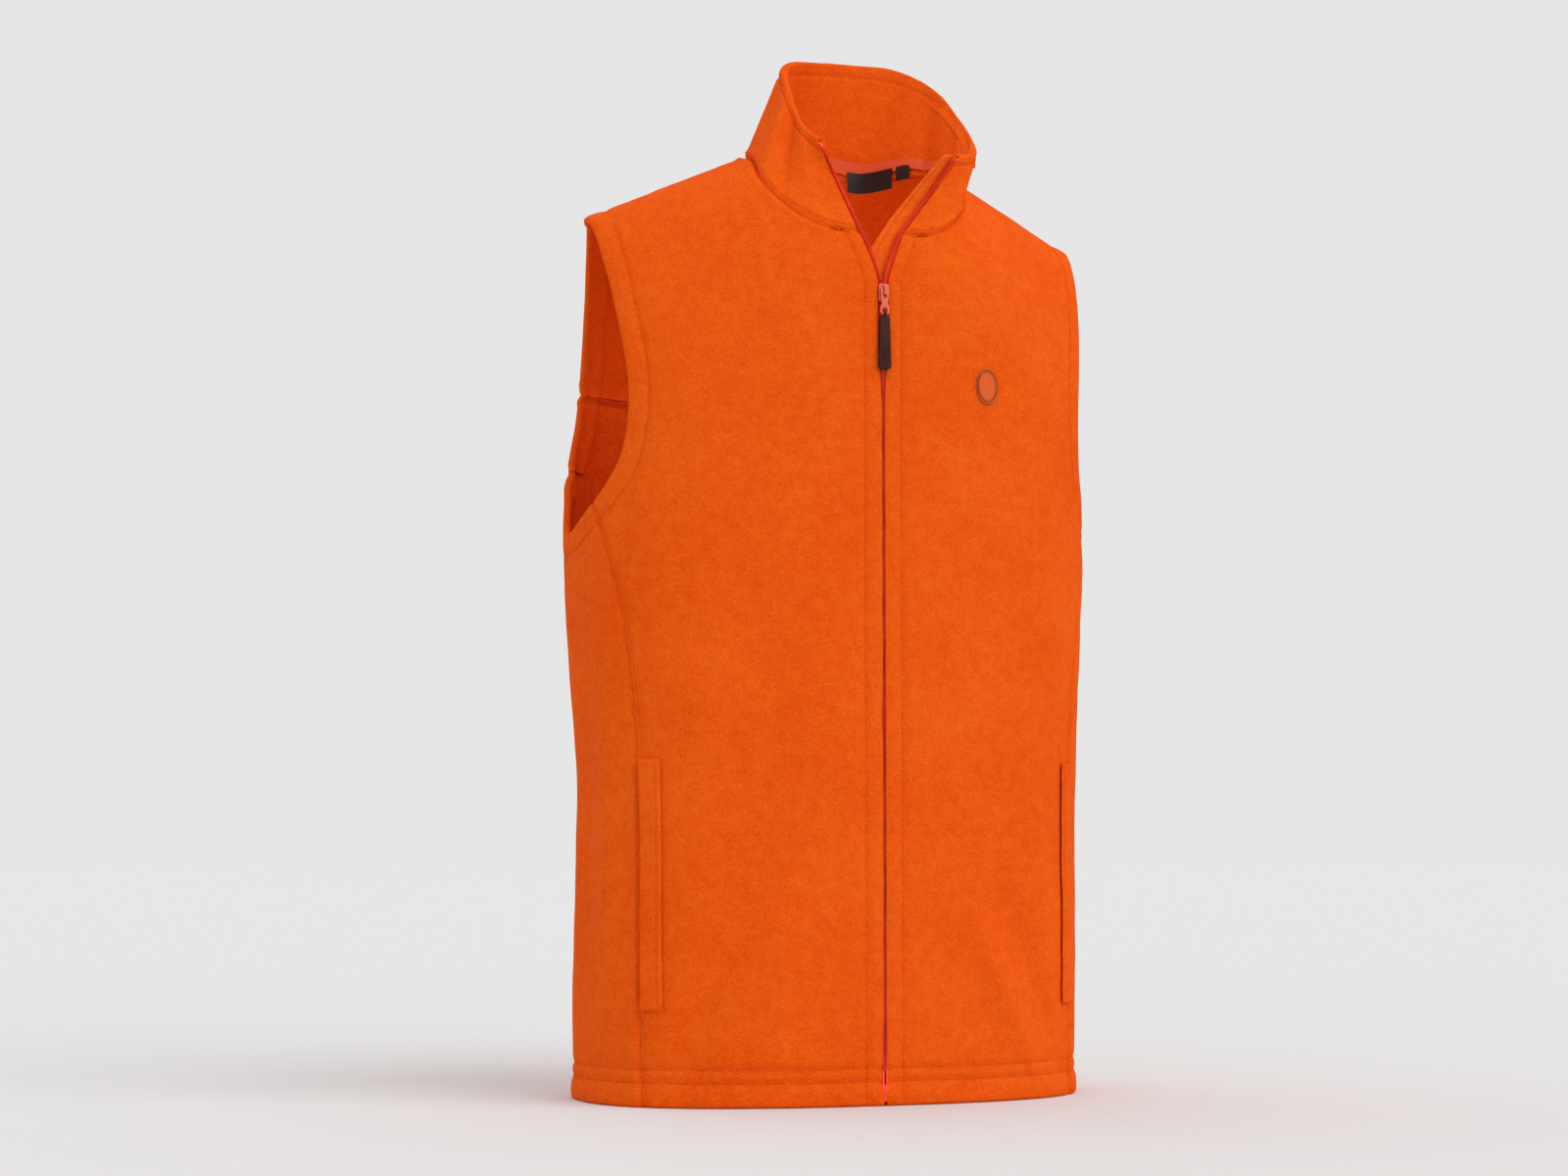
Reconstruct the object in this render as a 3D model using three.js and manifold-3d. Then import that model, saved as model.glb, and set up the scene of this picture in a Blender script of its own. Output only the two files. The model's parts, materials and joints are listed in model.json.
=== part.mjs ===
// A sleeveless fleece vest with a stand collar and a full-length separating zip, standing open at the neck
// as if worn. Millimetres, +Z up, +X to the wearer's left, front towards -Y, resting on its hem.
//
// The cloth lies on one smooth body surface. A spot on it is [around, level]: around is the angle in radians
// from the front centre (PI at the back centre, positive to the wearer's left), level runs from 0 at the hem
// to 1 on top of the shoulder. Each panel is a closed sheet between four seam lines on that surface.
import * as THREE from "three";
import { mergeVertices } from "three/addons/utils/BufferGeometryUtils.js";
import Module from "manifold-3d";

// ---- Driving dimensions -------------------------------------------------------------------------------

// Body, measured to the outer face of the cloth.
const NECK_POINT_HEIGHT = 706; // hem to where the shoulder line meets the neck
const SHOULDER_TIP_HEIGHT = NECK_POINT_HEIGHT - 60; // the outer end of the shoulder line
const NECK_POINT_X = 66; // half distance between the two neck points
const SHOULDER_TIP_X = 204; // half distance between the two shoulder tips
const UPRIGHT_HEIGHT_CENTRE = NECK_POINT_HEIGHT - 106; // upright up to here at the centre, then rounding over
const UPRIGHT_HEIGHT_SIDE = NECK_POINT_HEIGHT - 226; // the same at the sides
const BACK_NECK_RISE = 18; // the back stands this much higher than the neck points
const FRONT_DEPTH = 122; // from the body's middle plane to the front
const SIZE_LEVELS = [0, 0.28, 0.55, 0.8, 1]; // hem, waist, chest, armhole, shoulder
const HALF_WIDTHS = [193, 191, 202, 206, 206];
const BACK_DEPTHS = [96, 90, 98, 100, 100];
const RIDGE_Y_NECK = -30; // the shoulder line leans to the front, most at the neck
const RIDGE_Y_TIP = -15;
const UPRIGHT_SHARE = 0.64; // share of the levels that is upright
const ROUNDNESS_BODY = 2.5; // 2 would be an ellipse seen from above, more is boxier
const ROUNDNESS_SHOULDER = 3;
const ROUNDER_FROM = 0.55; // level where the first gives way to the second

// Cloth and trim.
const FLEECE = 2.6;
const FLEECE_FOLDED = 2 * FLEECE; // two layers, where an edge is turned in and stitched
const SEAM_GAP = 0.5;
const LAYER_GAP = 0.5;
const HEM_BAND = 24;
const ARMHOLE_BAND = 20;
const NECK_TAPE_HEIGHT = 8;
const NECK_TAPE_THICKNESS = 0.7;
const LABEL = { height: 16, thickness: 0.5, from: 0.555, to: 0.645 }; // from, to: shares of the neck seam
const SIZE_TAB = { height: 11, thickness: 0.5, from: 0.652, to: 0.675 };
const LABEL_DROP = 0.6; // labels hang this much lower than the tape's edge
const LABEL_INWARD = 0.8; // and this much further in
const POCKET = { bottom: 68, top: 247, fromSeam: 2, welt: 17, bagDepth: 95, bagRise: 45, bagDrop: 24,
  bagGap: 1.1, bagThickness: 1.2 };
const BADGE = { x: 84, z: NECK_POINT_HEIGHT - 182, width: 18, height: 26, thickness: 0.8, proud: 0.5 };
const YOKE_HEIGHT = NECK_POINT_HEIGHT - 177; // height of the back yoke seam at the armholes
const PRINCESS_AT_ARMHOLE = 75.5; // degrees around, where the side front seams leave the armholes
const BACK_SEAM_AT_ARMHOLE = 112;

// Zip, straight and closed up to the slider, open above it.
const ZIP_EDGE = 4.3; // from the zip's centre line to the cloth edge
const NECK_SEAM_HEIGHT = NECK_POINT_HEIGHT - 72; // front end of the neck seam
const OPEN_FROM = NECK_SEAM_HEIGHT - 38; // height where the two sides begin to part
const OPEN_HALF_WIDTH = 14; // half opening at the neck seam
const TAPE = { inner: 0.9, outer: 14, front: FLEECE + LAYER_GAP, back: FLEECE + 2 * LAYER_GAP };
const COIL = { inner: 0.6, outer: 2.5, front: FLEECE - 1.9, back: FLEECE };
const FLAP = { past: 14, step: 6.3, sewnFrom: 8.7, sewn: 16, front: FLEECE_FOLDED + 0.2,
  sewnFront: TAPE.back + 0.3 };
const RUNNING_GAP = 0.3;
const SLIDER = { top: OPEN_FROM - 2, height: 13, halfWidth: 3.9, plate: 1.2, rear: 1.1, proud: 0.9,
  corner: 1.6 };
const BRIDGE = { halfWidth: 0.9, rise: 3.6, wall: 1.6, bottom: SLIDER.top - 8, top: SLIDER.top - 1 };
const PULLER = { thickness: 1.4, halfWidth: 3, windowHalf: 1.4, barRadius: 0.6, axisBelowTop: 3.4, window: 7,
  proud: 1.4, eyelet: 3.6, eyeletHole: 2.1, eyeletDrop: 16.3, waist: 2.3 };
const TAB = { link: 2.1, linkHole: 1.4, linkHalfWidth: 1, thickness: 2.2, top: 7.4, bottom: 9.4, length: 39,
  corner: 3, topCorner: 1.5 };
const BOX = { bottom: 3, height: 12, pinAbove: 10.5, wall: 1.2, proud: -0.1 };
const TOP_STOP = { from: 0.93, to: 0.965 };

// ---- Lines on the body: [degrees around, level] for the wearer's left side ---------------------------

const ARMHOLE = [
  [70, 1], [66.5, 0.88], [61.5, 0.778], [58, 0.69], [61, 0.63], [69, 0.595], [82, 0.568], [94, 0.555],
  [104, 0.58], [112, 0.625], [121, 0.68], [125, 0.76], [124, 0.84], [118, 0.94], [110, 1],
];
const PRINCESS_SEAM = [[68.5, 0.533], [63.3, 0.48], [61.2, 0.42], [60, 0.33], [58.4, 0.09], [57, 0]];
const BACK_SEAM = [[115, 0.5], [115, 0.3], [112, 0]];
const FRONT_NECK = [[33, 0.717], [51, 0.741], [70, 0.793], [80, 0.862], [78, 0.94]]; // [x, level]
const BACK_NECK = [[62, 0.965], [38, 0.912], [0, 0.898]]; // [x, level], on the back

// The collar's top edge, from the right zip end round the back to the left one: how far it is from the neck
// seam below it, [to the left, to the back, up]. It leans in on the wearer's right and folds open on the left.
const COLLAR_RISE = [
  [-24.5, 22, 71], [15.5, 34, 77.5], [35.5, 29, 73], [35.5, 13, 79], [32, -3.5, 88], [27, -5, 84], [20, 4.5, 89],
  [14.5, 23, 73], [17.5, 36, 63], [32.5, 30, 63.5], [52.5, 13, 65],
].map((p) => new THREE.Vector3(...p));

// ---- The body surface ---------------------------------------------------------------------------------

const { clamp, degToRad, lerp } = THREE.MathUtils;
const ease = (t) => clamp(t, 0, 1) ** 2 * (3 - 2 * clamp(t, 0, 1));

function easedThrough(at, levels, values) {
  let i = 0;
  while (i < levels.length - 2 && at > levels[i + 1]) i += 1;
  return lerp(values[i], values[i + 1], ease((at - levels[i]) / (levels[i + 1] - levels[i])));
}

const roundness = (level) =>
  lerp(ROUNDNESS_BODY, ROUNDNESS_SHOULDER, ease((level - ROUNDER_FROM) / (1 - ROUNDER_FROM)));
const halfWidth = (level) => easedThrough(level, SIZE_LEVELS, HALF_WIDTHS);
const shoulderShare = (x) => clamp((Math.abs(x) - NECK_POINT_X) / (SHOULDER_TIP_X - NECK_POINT_X), 0, 1.1);
const uprightHeight = (x) =>
  lerp(UPRIGHT_HEIGHT_CENTRE, UPRIGHT_HEIGHT_SIDE, ease((Math.abs(x) - 25) / (SHOULDER_TIP_X - 54)));

function topHeight(x, isBack) {
  const rise = isBack ? BACK_NECK_RISE * (1 - ease(Math.abs(x) / NECK_POINT_X)) : 0;
  return lerp(NECK_POINT_HEIGHT, SHOULDER_TIP_HEIGHT, shoulderShare(x)) + rise;
}

function bodyPoint([around, level]) {
  const power = 2 / roundness(level);
  const isBack = Math.cos(around) < 0;
  const x = halfWidth(level) * Math.sign(Math.sin(around)) * Math.abs(Math.sin(around)) ** power;
  const depth = isBack ? easedThrough(level, SIZE_LEVELS, BACK_DEPTHS) : -FRONT_DEPTH;
  const reach = depth * Math.abs(Math.cos(around)) ** power;
  const upright = uprightHeight(x);
  const turn = (clamp((level - UPRIGHT_SHARE) / (1 - UPRIGHT_SHARE), 0, 1) * Math.PI) / 2;
  const ridge = lerp(RIDGE_Y_NECK, RIDGE_Y_TIP, ease(shoulderShare(x)));
  const z = level <= UPRIGHT_SHARE
    ? (upright * level) / UPRIGHT_SHARE
    : lerp(upright, topHeight(x, isBack), Math.sin(turn));
  return new THREE.Vector3(x, lerp(ridge, reach, Math.cos(turn)), z);
}

function bodyNormal([around, level]) {
  const step = 1e-4;
  const low = clamp(level, step, 1 - step);
  const acrossBy = bodyPoint([around + step, low]).sub(bodyPoint([around - step, low]));
  const upBy = bodyPoint([around, low + step]).sub(bodyPoint([around, low - step]));
  return acrossBy.cross(upBy).normalize();
}

// The spot at a given x on a given level.
function spotAt(x, level, isBack = false) {
  const share = clamp(Math.abs(x) / halfWidth(level), 0, 1) ** (roundness(level) / 2);
  const around = Math.asin(share);
  return [Math.sign(x || 1) * (isBack ? Math.PI - around : around), level];
}

// The spot at a given x and height.
function spotOver(x, z, isBack = false) {
  const upright = uprightHeight(x);
  const top = topHeight(x, isBack);
  const level = z <= upright
    ? (UPRIGHT_SHARE * z) / upright
    : UPRIGHT_SHARE
      + ((1 - UPRIGHT_SHARE) * Math.asin(clamp((z - upright) / (top - upright), 0, 1)) * 2) / Math.PI;
  return spotAt(x, level, isBack);
}

// The spot at a given angle and height.
function spotAround(around, z) {
  let [low, high] = [0, 1];
  for (let i = 0; i < 40; i += 1) {
    const middle = (low + high) / 2;
    if (bodyPoint([around, middle]).z < z) low = middle;
    else high = middle;
  }
  return [around, low];
}

// A line through spots, as a function of the share of its length. Its length in mm is line.mm.
function lineThrough(spots) {
  const curve = new THREE.SplineCurve(spots.map(([a, l]) => new THREE.Vector2(a, l)));
  return lineAlong((t) => curve.getPoint(t).toArray(), 24 * spots.length);
}

function lineAlong(spotOf, steps = 60) {
  const spots = Array.from({ length: steps + 1 }, (_, i) => spotOf(i / steps));
  const run = [0];
  for (let i = 1; i <= steps; i += 1) {
    run.push(run[i - 1] + bodyPoint(spots[i]).distanceTo(bodyPoint(spots[i - 1])));
  }
  const line = (share) => {
    const target = clamp(share, 0, 1) * run[steps];
    let i = 1;
    while (i < steps && run[i] < target) i += 1;
    const t = (target - run[i - 1]) / (run[i] - run[i - 1]);
    return [lerp(spots[i - 1][0], spots[i][0], t), lerp(spots[i - 1][1], spots[i][1], t)];
  };
  line.mm = run[steps];
  return line;
}

// The share of a line where a measure passes zero, between two shares.
function crossing(line, measure, from, to) {
  let [low, high] = [from, to];
  const startsPositive = measure(line(low)) > 0;
  for (let i = 0; i < 40; i += 1) {
    const middle = (low + high) / 2;
    if (measure(line(middle)) > 0 === startsPositive) low = middle;
    else high = middle;
  }
  return low;
}

const partOf = (line, from, to) => lineAlong((t) => line(lerp(from, to, t)));
const radians = ([degrees, level]) => [degToRad(degrees), level];

// ---- Seam lines, wearer's left side -------------------------------------------------------------------

const openShareAt = (z) => clamp((z - OPEN_FROM) / (NECK_SEAM_HEIGHT - OPEN_FROM), 0, 2);
const edgeX = (z) => ZIP_EDGE + OPEN_HALF_WIDTH * openShareAt(z) ** 1.25;
const zipEdge = (z) => spotOver(edgeX(z), z);

const armhole = lineThrough(ARMHOLE.map(radians));
const princessCut = crossing(armhole, ([a]) => a - degToRad(PRINCESS_AT_ARMHOLE), 0.3, 0.6);
const backSeamCut = crossing(armhole, ([a]) => a - degToRad(BACK_SEAM_AT_ARMHOLE), 0.5, 0.75);
const yokeCut = crossing(armhole, (spot) => bodyPoint(spot).z - YOKE_HEIGHT, 0.55, 0.95);
const armholeFront = partOf(armhole, princessCut, 0);
const armholeSide = partOf(armhole, princessCut, backSeamCut);
const armholeBack = partOf(armhole, backSeamCut, yokeCut);
const armholeYoke = partOf(armhole, yokeCut, 1);
const princess = lineThrough([armhole(princessCut), ...PRINCESS_SEAM.map(radians)].reverse());
const backSeam = lineThrough([armhole(backSeamCut), ...BACK_SEAM.map(radians)].reverse());

const neckPointX = NECK_POINT_X + 10; // the seam meets the shoulder line just outside the neck point
const frontNeck = lineThrough([
  zipEdge(NECK_SEAM_HEIGHT), ...FRONT_NECK.map(([x, l]) => spotAt(x, l)), spotAt(neckPointX, 1),
]);
const backNeckHalf = [spotAt(neckPointX, 1, true), ...BACK_NECK.map(([x, l]) => spotAt(x, l, true))];
const backNeck = lineThrough([
  ...backNeckHalf, ...backNeckHalf.slice(0, -1).reverse().map(([a, l]) => [2 * Math.PI - a, l]),
]);
const shoulder = lineThrough([spotAt(neckPointX, 1), armhole(0)]);
const yokeEnd = armhole(yokeCut)[0];
const yokeSeam = lineAlong((t) => spotAround(lerp(yokeEnd, 2 * Math.PI - yokeEnd, t), YOKE_HEIGHT));
const hem = (from, to) => lineThrough([[from, 0], [to, 0]]);

// ---- Closed sheets ------------------------------------------------------------------------------------

const steps = (from, to, count) => Array.from({ length: count + 1 }, (_, i) => lerp(from, to, i / count));

// A closed sheet from a grid of outer and inner points, given as functions of column and row.
function sheet(columns, rows, outer, inner) {
  const geometry = new THREE.BoxGeometry(1, 1, 1, columns, rows, 1);
  geometry.deleteAttribute("uv");
  const position = geometry.getAttribute("position");
  const outerPoints = new Map();
  const pointAt = (i, j, isOuter) => {
    const key = `${i} ${j} ${isOuter}`;
    if (!outerPoints.has(key)) outerPoints.set(key, isOuter ? outer(i, j) : inner(i, j));
    return outerPoints.get(key);
  };
  for (let k = 0; k < position.count; k += 1) {
    const i = Math.round((position.getX(k) + 0.5) * columns);
    const j = Math.round((position.getY(k) + 0.5) * rows);
    position.setXYZ(k, ...pointAt(i, j, position.getZ(k) > 0).toArray());
  }
  return facingOut(geometry);
}

function facingOut(geometry) {
  const position = geometry.getAttribute("position");
  const index = geometry.index.array;
  const [a, b, c] = [new THREE.Vector3(), new THREE.Vector3(), new THREE.Vector3()];
  let volume = 0;
  for (let k = 0; k < index.length; k += 3) {
    a.fromBufferAttribute(position, index[k]);
    b.fromBufferAttribute(position, index[k + 1]);
    c.fromBufferAttribute(position, index[k + 2]);
    volume += a.dot(b.cross(c));
  }
  if (volume < 0) {
    for (let k = 0; k < index.length; k += 3) [index[k + 1], index[k + 2]] = [index[k + 2], index[k + 1]];
  }
  geometry.computeVertexNormals();
  return geometry;
}

function mirrored(geometry) {
  const copy = geometry.clone().scale(-1, 1, 1);
  return facingOut(copy);
}

// A body panel. bottom and top are functions of the share across, start and end of the share up.
// columns gives, for a row of a given length, each column's distance from the start seam. rows are shares up.
function bodyPanel({ bottom, top, start, end, columns, rows, folded }) {
  const spot = (u, v) => {
    const [b, t, s, e] = [bottom(u), top(u), start(v), end(v)];
    const [bs, be, ts, te] = [bottom(0), bottom(1), top(0), top(1)];
    return [0, 1].map((k) => (1 - v) * b[k] + v * t[k] + (1 - u) * s[k] + u * e[k]
      - ((1 - u) * (1 - v) * bs[k] + u * (1 - v) * be[k] + (1 - u) * v * ts[k] + u * v * te[k]));
  };
  const rowSpots = rows.map((v) => {
    const across = lineAlong((u) => spot(u, v), 40);
    return columns(across.mm, v).map((mm) => across(mm / across.mm));
  });
  const spotsAt = (i, j) => rowSpots[j][i];
  return sheet(
    rowSpots[0].length - 1,
    rows.length - 1,
    (i, j) => bodyPoint(spotsAt(i, j)),
    (i, j) => bodyPoint(spotsAt(i, j)).addScaledVector(
      bodyNormal(spotsAt(i, j)), -(folded(i, j, rowSpots[0].length - 1) ? FLEECE_FOLDED : FLEECE)),
  );
}

// ---- Panels -------------------------------------------------------------------------------------------

const STEP = 1; // a folded band thins to one layer over this width
const hemShare = 0.04;
const underarmShare = 0.62;
const underarmBand = underarmShare - (ARMHOLE_BAND / princess.mm) * (underarmShare - hemShare);
const thin = 0.002; // a share of the height, about STEP
const lowRows = [0, hemShare, ...steps(hemShare + thin, underarmBand - thin, 8), underarmBand, underarmShare];

// The share up a side seam: the hem band is the same height on every panel.
function upSeam(seam, share) {
  const band = HEM_BAND / seam.mm;
  return share <= hemShare ? seam((share / hemShare) * band)
    : seam(lerp(band, 1, (share - hemShare) / (underarmShare - hemShare)));
}

// The front's rows run from the zip edge, and above it from the neck seam, to the side seam and the armhole.
const neckCornerShare = 0.8; // the row at the corner of zip edge and neck seam
const armholeAtCorner = 0.5; // the share of the front armhole that this row reaches
const underarmHeight = bodyPoint(armhole(princessCut)).z;
function frontStart(v) {
  if (v > neckCornerShare) return frontNeck((v - neckCornerShare) / (1 - neckCornerShare));
  if (v <= hemShare) return zipEdge(lerp(0, HEM_BAND, v / hemShare));
  if (v <= underarmShare) {
    return zipEdge(lerp(HEM_BAND, underarmHeight, (v - hemShare) / (underarmShare - hemShare)));
  }
  return zipEdge(
    lerp(underarmHeight, NECK_SEAM_HEIGHT, (v - underarmShare) / (neckCornerShare - underarmShare)),
  );
}
function frontEnd(v) {
  if (v <= underarmShare) return upSeam(princess, v);
  if (v <= neckCornerShare) {
    return armholeFront((armholeAtCorner * (v - underarmShare)) / (neckCornerShare - underarmShare));
  }
  return armholeFront(lerp(armholeAtCorner, 1, (v - neckCornerShare) / (1 - neckCornerShare)));
}

// Rows close up where the cloth rounds over, from the height where the zip opens.
const openShare = lerp(underarmShare, neckCornerShare,
  (OPEN_FROM - 2 * LAYER_GAP - underarmHeight) / (NECK_SEAM_HEIGHT - underarmHeight));
const OPEN_ROWS = 5;
const NECK_ROWS = 10;
const neckRowShares = steps(0, 1, NECK_ROWS);
const besideTape = TAPE.outer - ZIP_EDGE;
const foldFrom = besideTape + 4; // the folded hem stops short of the zip tape
const frontPanel = bodyPanel({
  bottom: hem(zipEdge(0)[0], princess(0)[0]),
  top: shoulder,
  start: frontStart,
  end: frontEnd,
  columns: (mm) => [
    0.06, besideTape, foldFrom - STEP, ...steps(foldFrom, mm - ARMHOLE_BAND - STEP, 10),
    mm - ARMHOLE_BAND, mm - SEAM_GAP / 2,
  ],
  rows: [
    ...lowRows, ...steps(underarmShare, openShare, 4).slice(1),
    ...steps(openShare, neckCornerShare, OPEN_ROWS).slice(1),
    ...neckRowShares.slice(1, -1).map((share) => lerp(neckCornerShare, 1, share)),
    1 - SEAM_GAP / NECK_POINT_HEIGHT,
  ],
  folded: (i, j, last) => (j <= 1 && i >= 3) || (j >= lowRows.length && i >= last - 1),
});

const sidePanelRows = lowRows.map((v) => v / underarmShare);
const sidePanel = bodyPanel({
  bottom: hem(princess(0)[0], backSeam(0)[0]),
  top: armholeSide,
  start: (v) => upSeam(princess, v * underarmShare),
  end: (v) => upSeam(backSeam, v * underarmShare),
  columns: (mm) => [SEAM_GAP / 2, ...steps(0, mm, 10).slice(1, -1), mm - SEAM_GAP / 2],
  rows: sidePanelRows,
  folded: (i, j) => j <= 1 || j >= sidePanelRows.length - 2,
});

const backSide = (v) => (v <= underarmShare ? upSeam(backSeam, v)
  : armholeBack((v - underarmShare) / (1 - underarmShare)));
const toRight = ([a, l]) => [2 * Math.PI - a, l];
const backRows = [...lowRows, ...steps(underarmShare, 1, 5).slice(1, -1), 1 - SEAM_GAP / (2 * YOKE_HEIGHT)];
const backPanel = bodyPanel({
  bottom: hem(backSeam(0)[0], toRight(backSeam(0))[0]),
  top: yokeSeam,
  start: backSide,
  end: (v) => toRight(backSide(v)),
  columns: (mm) => [
    SEAM_GAP / 2, ARMHOLE_BAND, ARMHOLE_BAND + STEP,
    ...steps(ARMHOLE_BAND + STEP, mm - ARMHOLE_BAND - STEP, 16).slice(1),
    mm - ARMHOLE_BAND, mm - SEAM_GAP / 2,
  ],
  rows: backRows,
  folded: (i, j, last) => j <= 1 || (j >= lowRows.length && (i <= 1 || i >= last - 1)),
});

const BACK_NECK_COLUMNS = 12;
const yokeTopLength = 2 * shoulder.mm + backNeck.mm;
const yokeShoulderShare = shoulder.mm / yokeTopLength;
const shoulderBack = (share) => {
  const [around, level] = shoulder(share);
  return [Math.PI - around, level];
};
const yokeTop = (u) => {
  if (u < yokeShoulderShare) return shoulderBack(1 - u / yokeShoulderShare);
  if (u > 1 - yokeShoulderShare) return toRight(shoulderBack((u - 1 + yokeShoulderShare) / yokeShoulderShare));
  return backNeck((u - yokeShoulderShare) / (1 - 2 * yokeShoulderShare));
};
const yokeInset = SEAM_GAP / (2 * armholeYoke.mm);
const backYoke = bodyPanel({
  bottom: yokeSeam,
  top: yokeTop,
  start: armholeYoke,
  end: (v) => toRight(armholeYoke(v)),
  columns: (mm) => {
    const shoulderMm = yokeShoulderShare * mm;
    const half = [0, ARMHOLE_BAND, ARMHOLE_BAND + STEP, ...steps(ARMHOLE_BAND + STEP, shoulderMm, 7).slice(1)];
    return [
      ...half, ...steps(shoulderMm, mm - shoulderMm, BACK_NECK_COLUMNS).slice(1, -1),
      ...half.map((d) => mm - d).reverse(),
    ];
  },
  rows: [yokeInset, ...steps(0, 1, 9).slice(1, -1), 1 - yokeInset],
  folded: (i, j, last) => i <= 1 || i >= last - 1,
});

// ---- Collar -------------------------------------------------------------------------------------------

const neckLength = 2 * frontNeck.mm + backNeck.mm;
const neckFrontShare = frontNeck.mm / neckLength;
const onRight = (point) => point.multiply(new THREE.Vector3(-1, 1, 1));

// What measure gives on the neck seam, from the right zip edge (0) round the back to the left zip edge (1).
function onNeckSeam(measure, share) {
  if (share < neckFrontShare) return onRight(measure(frontNeck(share / neckFrontShare)));
  if (share > 1 - neckFrontShare) return measure(frontNeck((1 - share) / neckFrontShare));
  return onRight(measure(backNeck((share - neckFrontShare) / (1 - 2 * neckFrontShare))));
}
const neckSeam = (share) => onNeckSeam(bodyPoint, share);

const rim = new THREE.CatmullRomCurve3(
  COLLAR_RISE.map((rise, i) => neckSeam(i / (COLLAR_RISE.length - 1)).add(rise)), false, "centripetal");
const collarPoint = (share, up) => neckSeam(share).lerp(rim.getPoint(clamp(share, 0, 1)), up);

const MITRE_UP = 0.25;
const MITRE_LEAN = 0.35;
function collarNormal(share, up) {
  const low = clamp(share, 0.01, 0.99);
  const acrossBy = collarPoint(low + 0.01, up).sub(collarPoint(low - 0.01, up));
  const upBy = rim.getPoint(low).sub(neckSeam(low)).normalize();
  const wall = upBy.clone().cross(acrossBy).normalize();
  // At the seam the wall is cut square to the body where it leans in as much as the body does. This fades
  // out over MITRE_UP of the collar's height, and where the two stand more than MITRE_LEAN apart.
  const square = onNeckSeam(bodyNormal, low);
  const seamShare = (1 - ease(up / MITRE_UP)) * (1 - ease(upBy.dot(square) / MITRE_LEAN));
  return wall.lerp(square, seamShare).normalize();
}

const collarInside = (share, up, depth) =>
  collarPoint(share, up).addScaledVector(collarNormal(share, up), -depth);
const collarMm = (up) => steps(0, 1, 40).slice(1).reduce(
  (sum, s, i) => sum + collarPoint(s, up).distanceTo(collarPoint(i / 40, up)), 0);
const collarHeight = neckSeam(0.5).distanceTo(rim.getPoint(0.5)); // at the back
const upInset = SEAM_GAP / collarHeight;

// The collar's columns stand on the columns of the panels below it.
const frontShares = [besideTape / neckLength, ...neckRowShares.map((share) => share * neckFrontShare)]
  .sort((a, b) => a - b);
const collarShares = [
  ...frontShares, ...steps(neckFrontShare, 1 - neckFrontShare, BACK_NECK_COLUMNS).slice(1, -1),
  ...frontShares.map((s) => 1 - s).reverse(),
];

function collarSheet(front, thickness, fromShare, toShare, fromUp, toUp, rows) {
  const between = collarShares.filter((s) => s > fromShare + 0.005 && s < toShare - 0.005);
  const shares = [fromShare, ...between, toShare];
  const ups = steps(fromUp, toUp, rows);
  return sheet(shares.length - 1, rows,
    (i, j) => collarInside(shares[i], ups[j], front),
    (i, j) => collarInside(shares[i], ups[j], front + thickness));
}

const liningFront = TAPE.back + RUNNING_GAP;
const flapSewnShare = (FLAP.sewn - ZIP_EDGE + 2 * LAYER_GAP) / collarMm(1);
const collarOuter = collarSheet(0, FLEECE, 0, 1, 2 * upInset, 1, 4);
const collarLining = collarSheet(liningFront, FLEECE, upInset, 1 - flapSewnShare, 2 * upInset, 0.99, 4);
const neckTapeFront = liningFront + FLEECE + LAYER_GAP;
const neckTapeUp = 0.03;
const neckTape = collarSheet(neckTapeFront, NECK_TAPE_THICKNESS, 0.2, 0.8, neckTapeUp,
  neckTapeUp + NECK_TAPE_HEIGHT / collarHeight, 1);

// A label hangs straight down from the neck tape's lower edge.
function hanging({ height, thickness, from, to }) {
  const shares = steps(from, to, 4);
  const at = (i, j, depth) => {
    const point = collarInside(shares[i], neckTapeUp, neckTapeFront + LABEL_INWARD + depth);
    point.z -= LABEL_DROP + (1 - j) * height;
    return point;
  };
  return sheet(4, 1, (i, j) => at(i, j, 0), (i, j) => at(i, j, thickness));
}
const neckLabel = hanging(LABEL);
const sizeTab = hanging(SIZE_TAB);

// ---- Zip: positions beside the cloth edge ------------------------------------------------------------

// A point beside the left zip edge: along is the height on the body up to the neck seam, then
// NECK_SEAM_HEIGHT plus mm up the collar. out is the distance from the zip's centre line, depth the distance
// behind the cloth face.
const collarEdgeMm = neckSeam(1).distanceTo(rim.getPoint(1));

function besideZip(isLeft, along, out, depth) {
  const fromEdge = out - ZIP_EDGE;
  if (along <= NECK_SEAM_HEIGHT) {
    const edge = bodyPoint(zipEdge(along));
    const ahead = bodyPoint(zipEdge(along + 0.5)).sub(bodyPoint(zipEdge(along - 0.5))).normalize();
    const sideways = bodyNormal(zipEdge(along)).cross(ahead).negate();
    const spot = edge.clone().addScaledVector(sideways, fromEdge);
    const [x, z] = [spot.x, spot.z];
    const on = spotOver(Math.max(x, 1e-3), z);
    const point = bodyPoint(on).addScaledVector(bodyNormal(on), -depth);
    if (x <= 1e-3) point.x = x;
    return isLeft ? point : onRight(point);
  }
  const up = (along - NECK_SEAM_HEIGHT) / collarEdgeMm;
  const edgeShare = isLeft ? 1 : 0;
  const inward = isLeft ? -1 : 1;
  const edge = collarPoint(edgeShare, up);
  const share = edgeShare + (inward * Math.max(fromEdge, 0)) / collarMm(up);
  const point = collarInside(share, up, depth);
  if (fromEdge < 0) {
    const sideways = collarPoint(edgeShare + inward * 0.02, up).sub(edge).normalize();
    point.addScaledVector(sideways, fromEdge);
  }
  return point;
}

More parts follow.
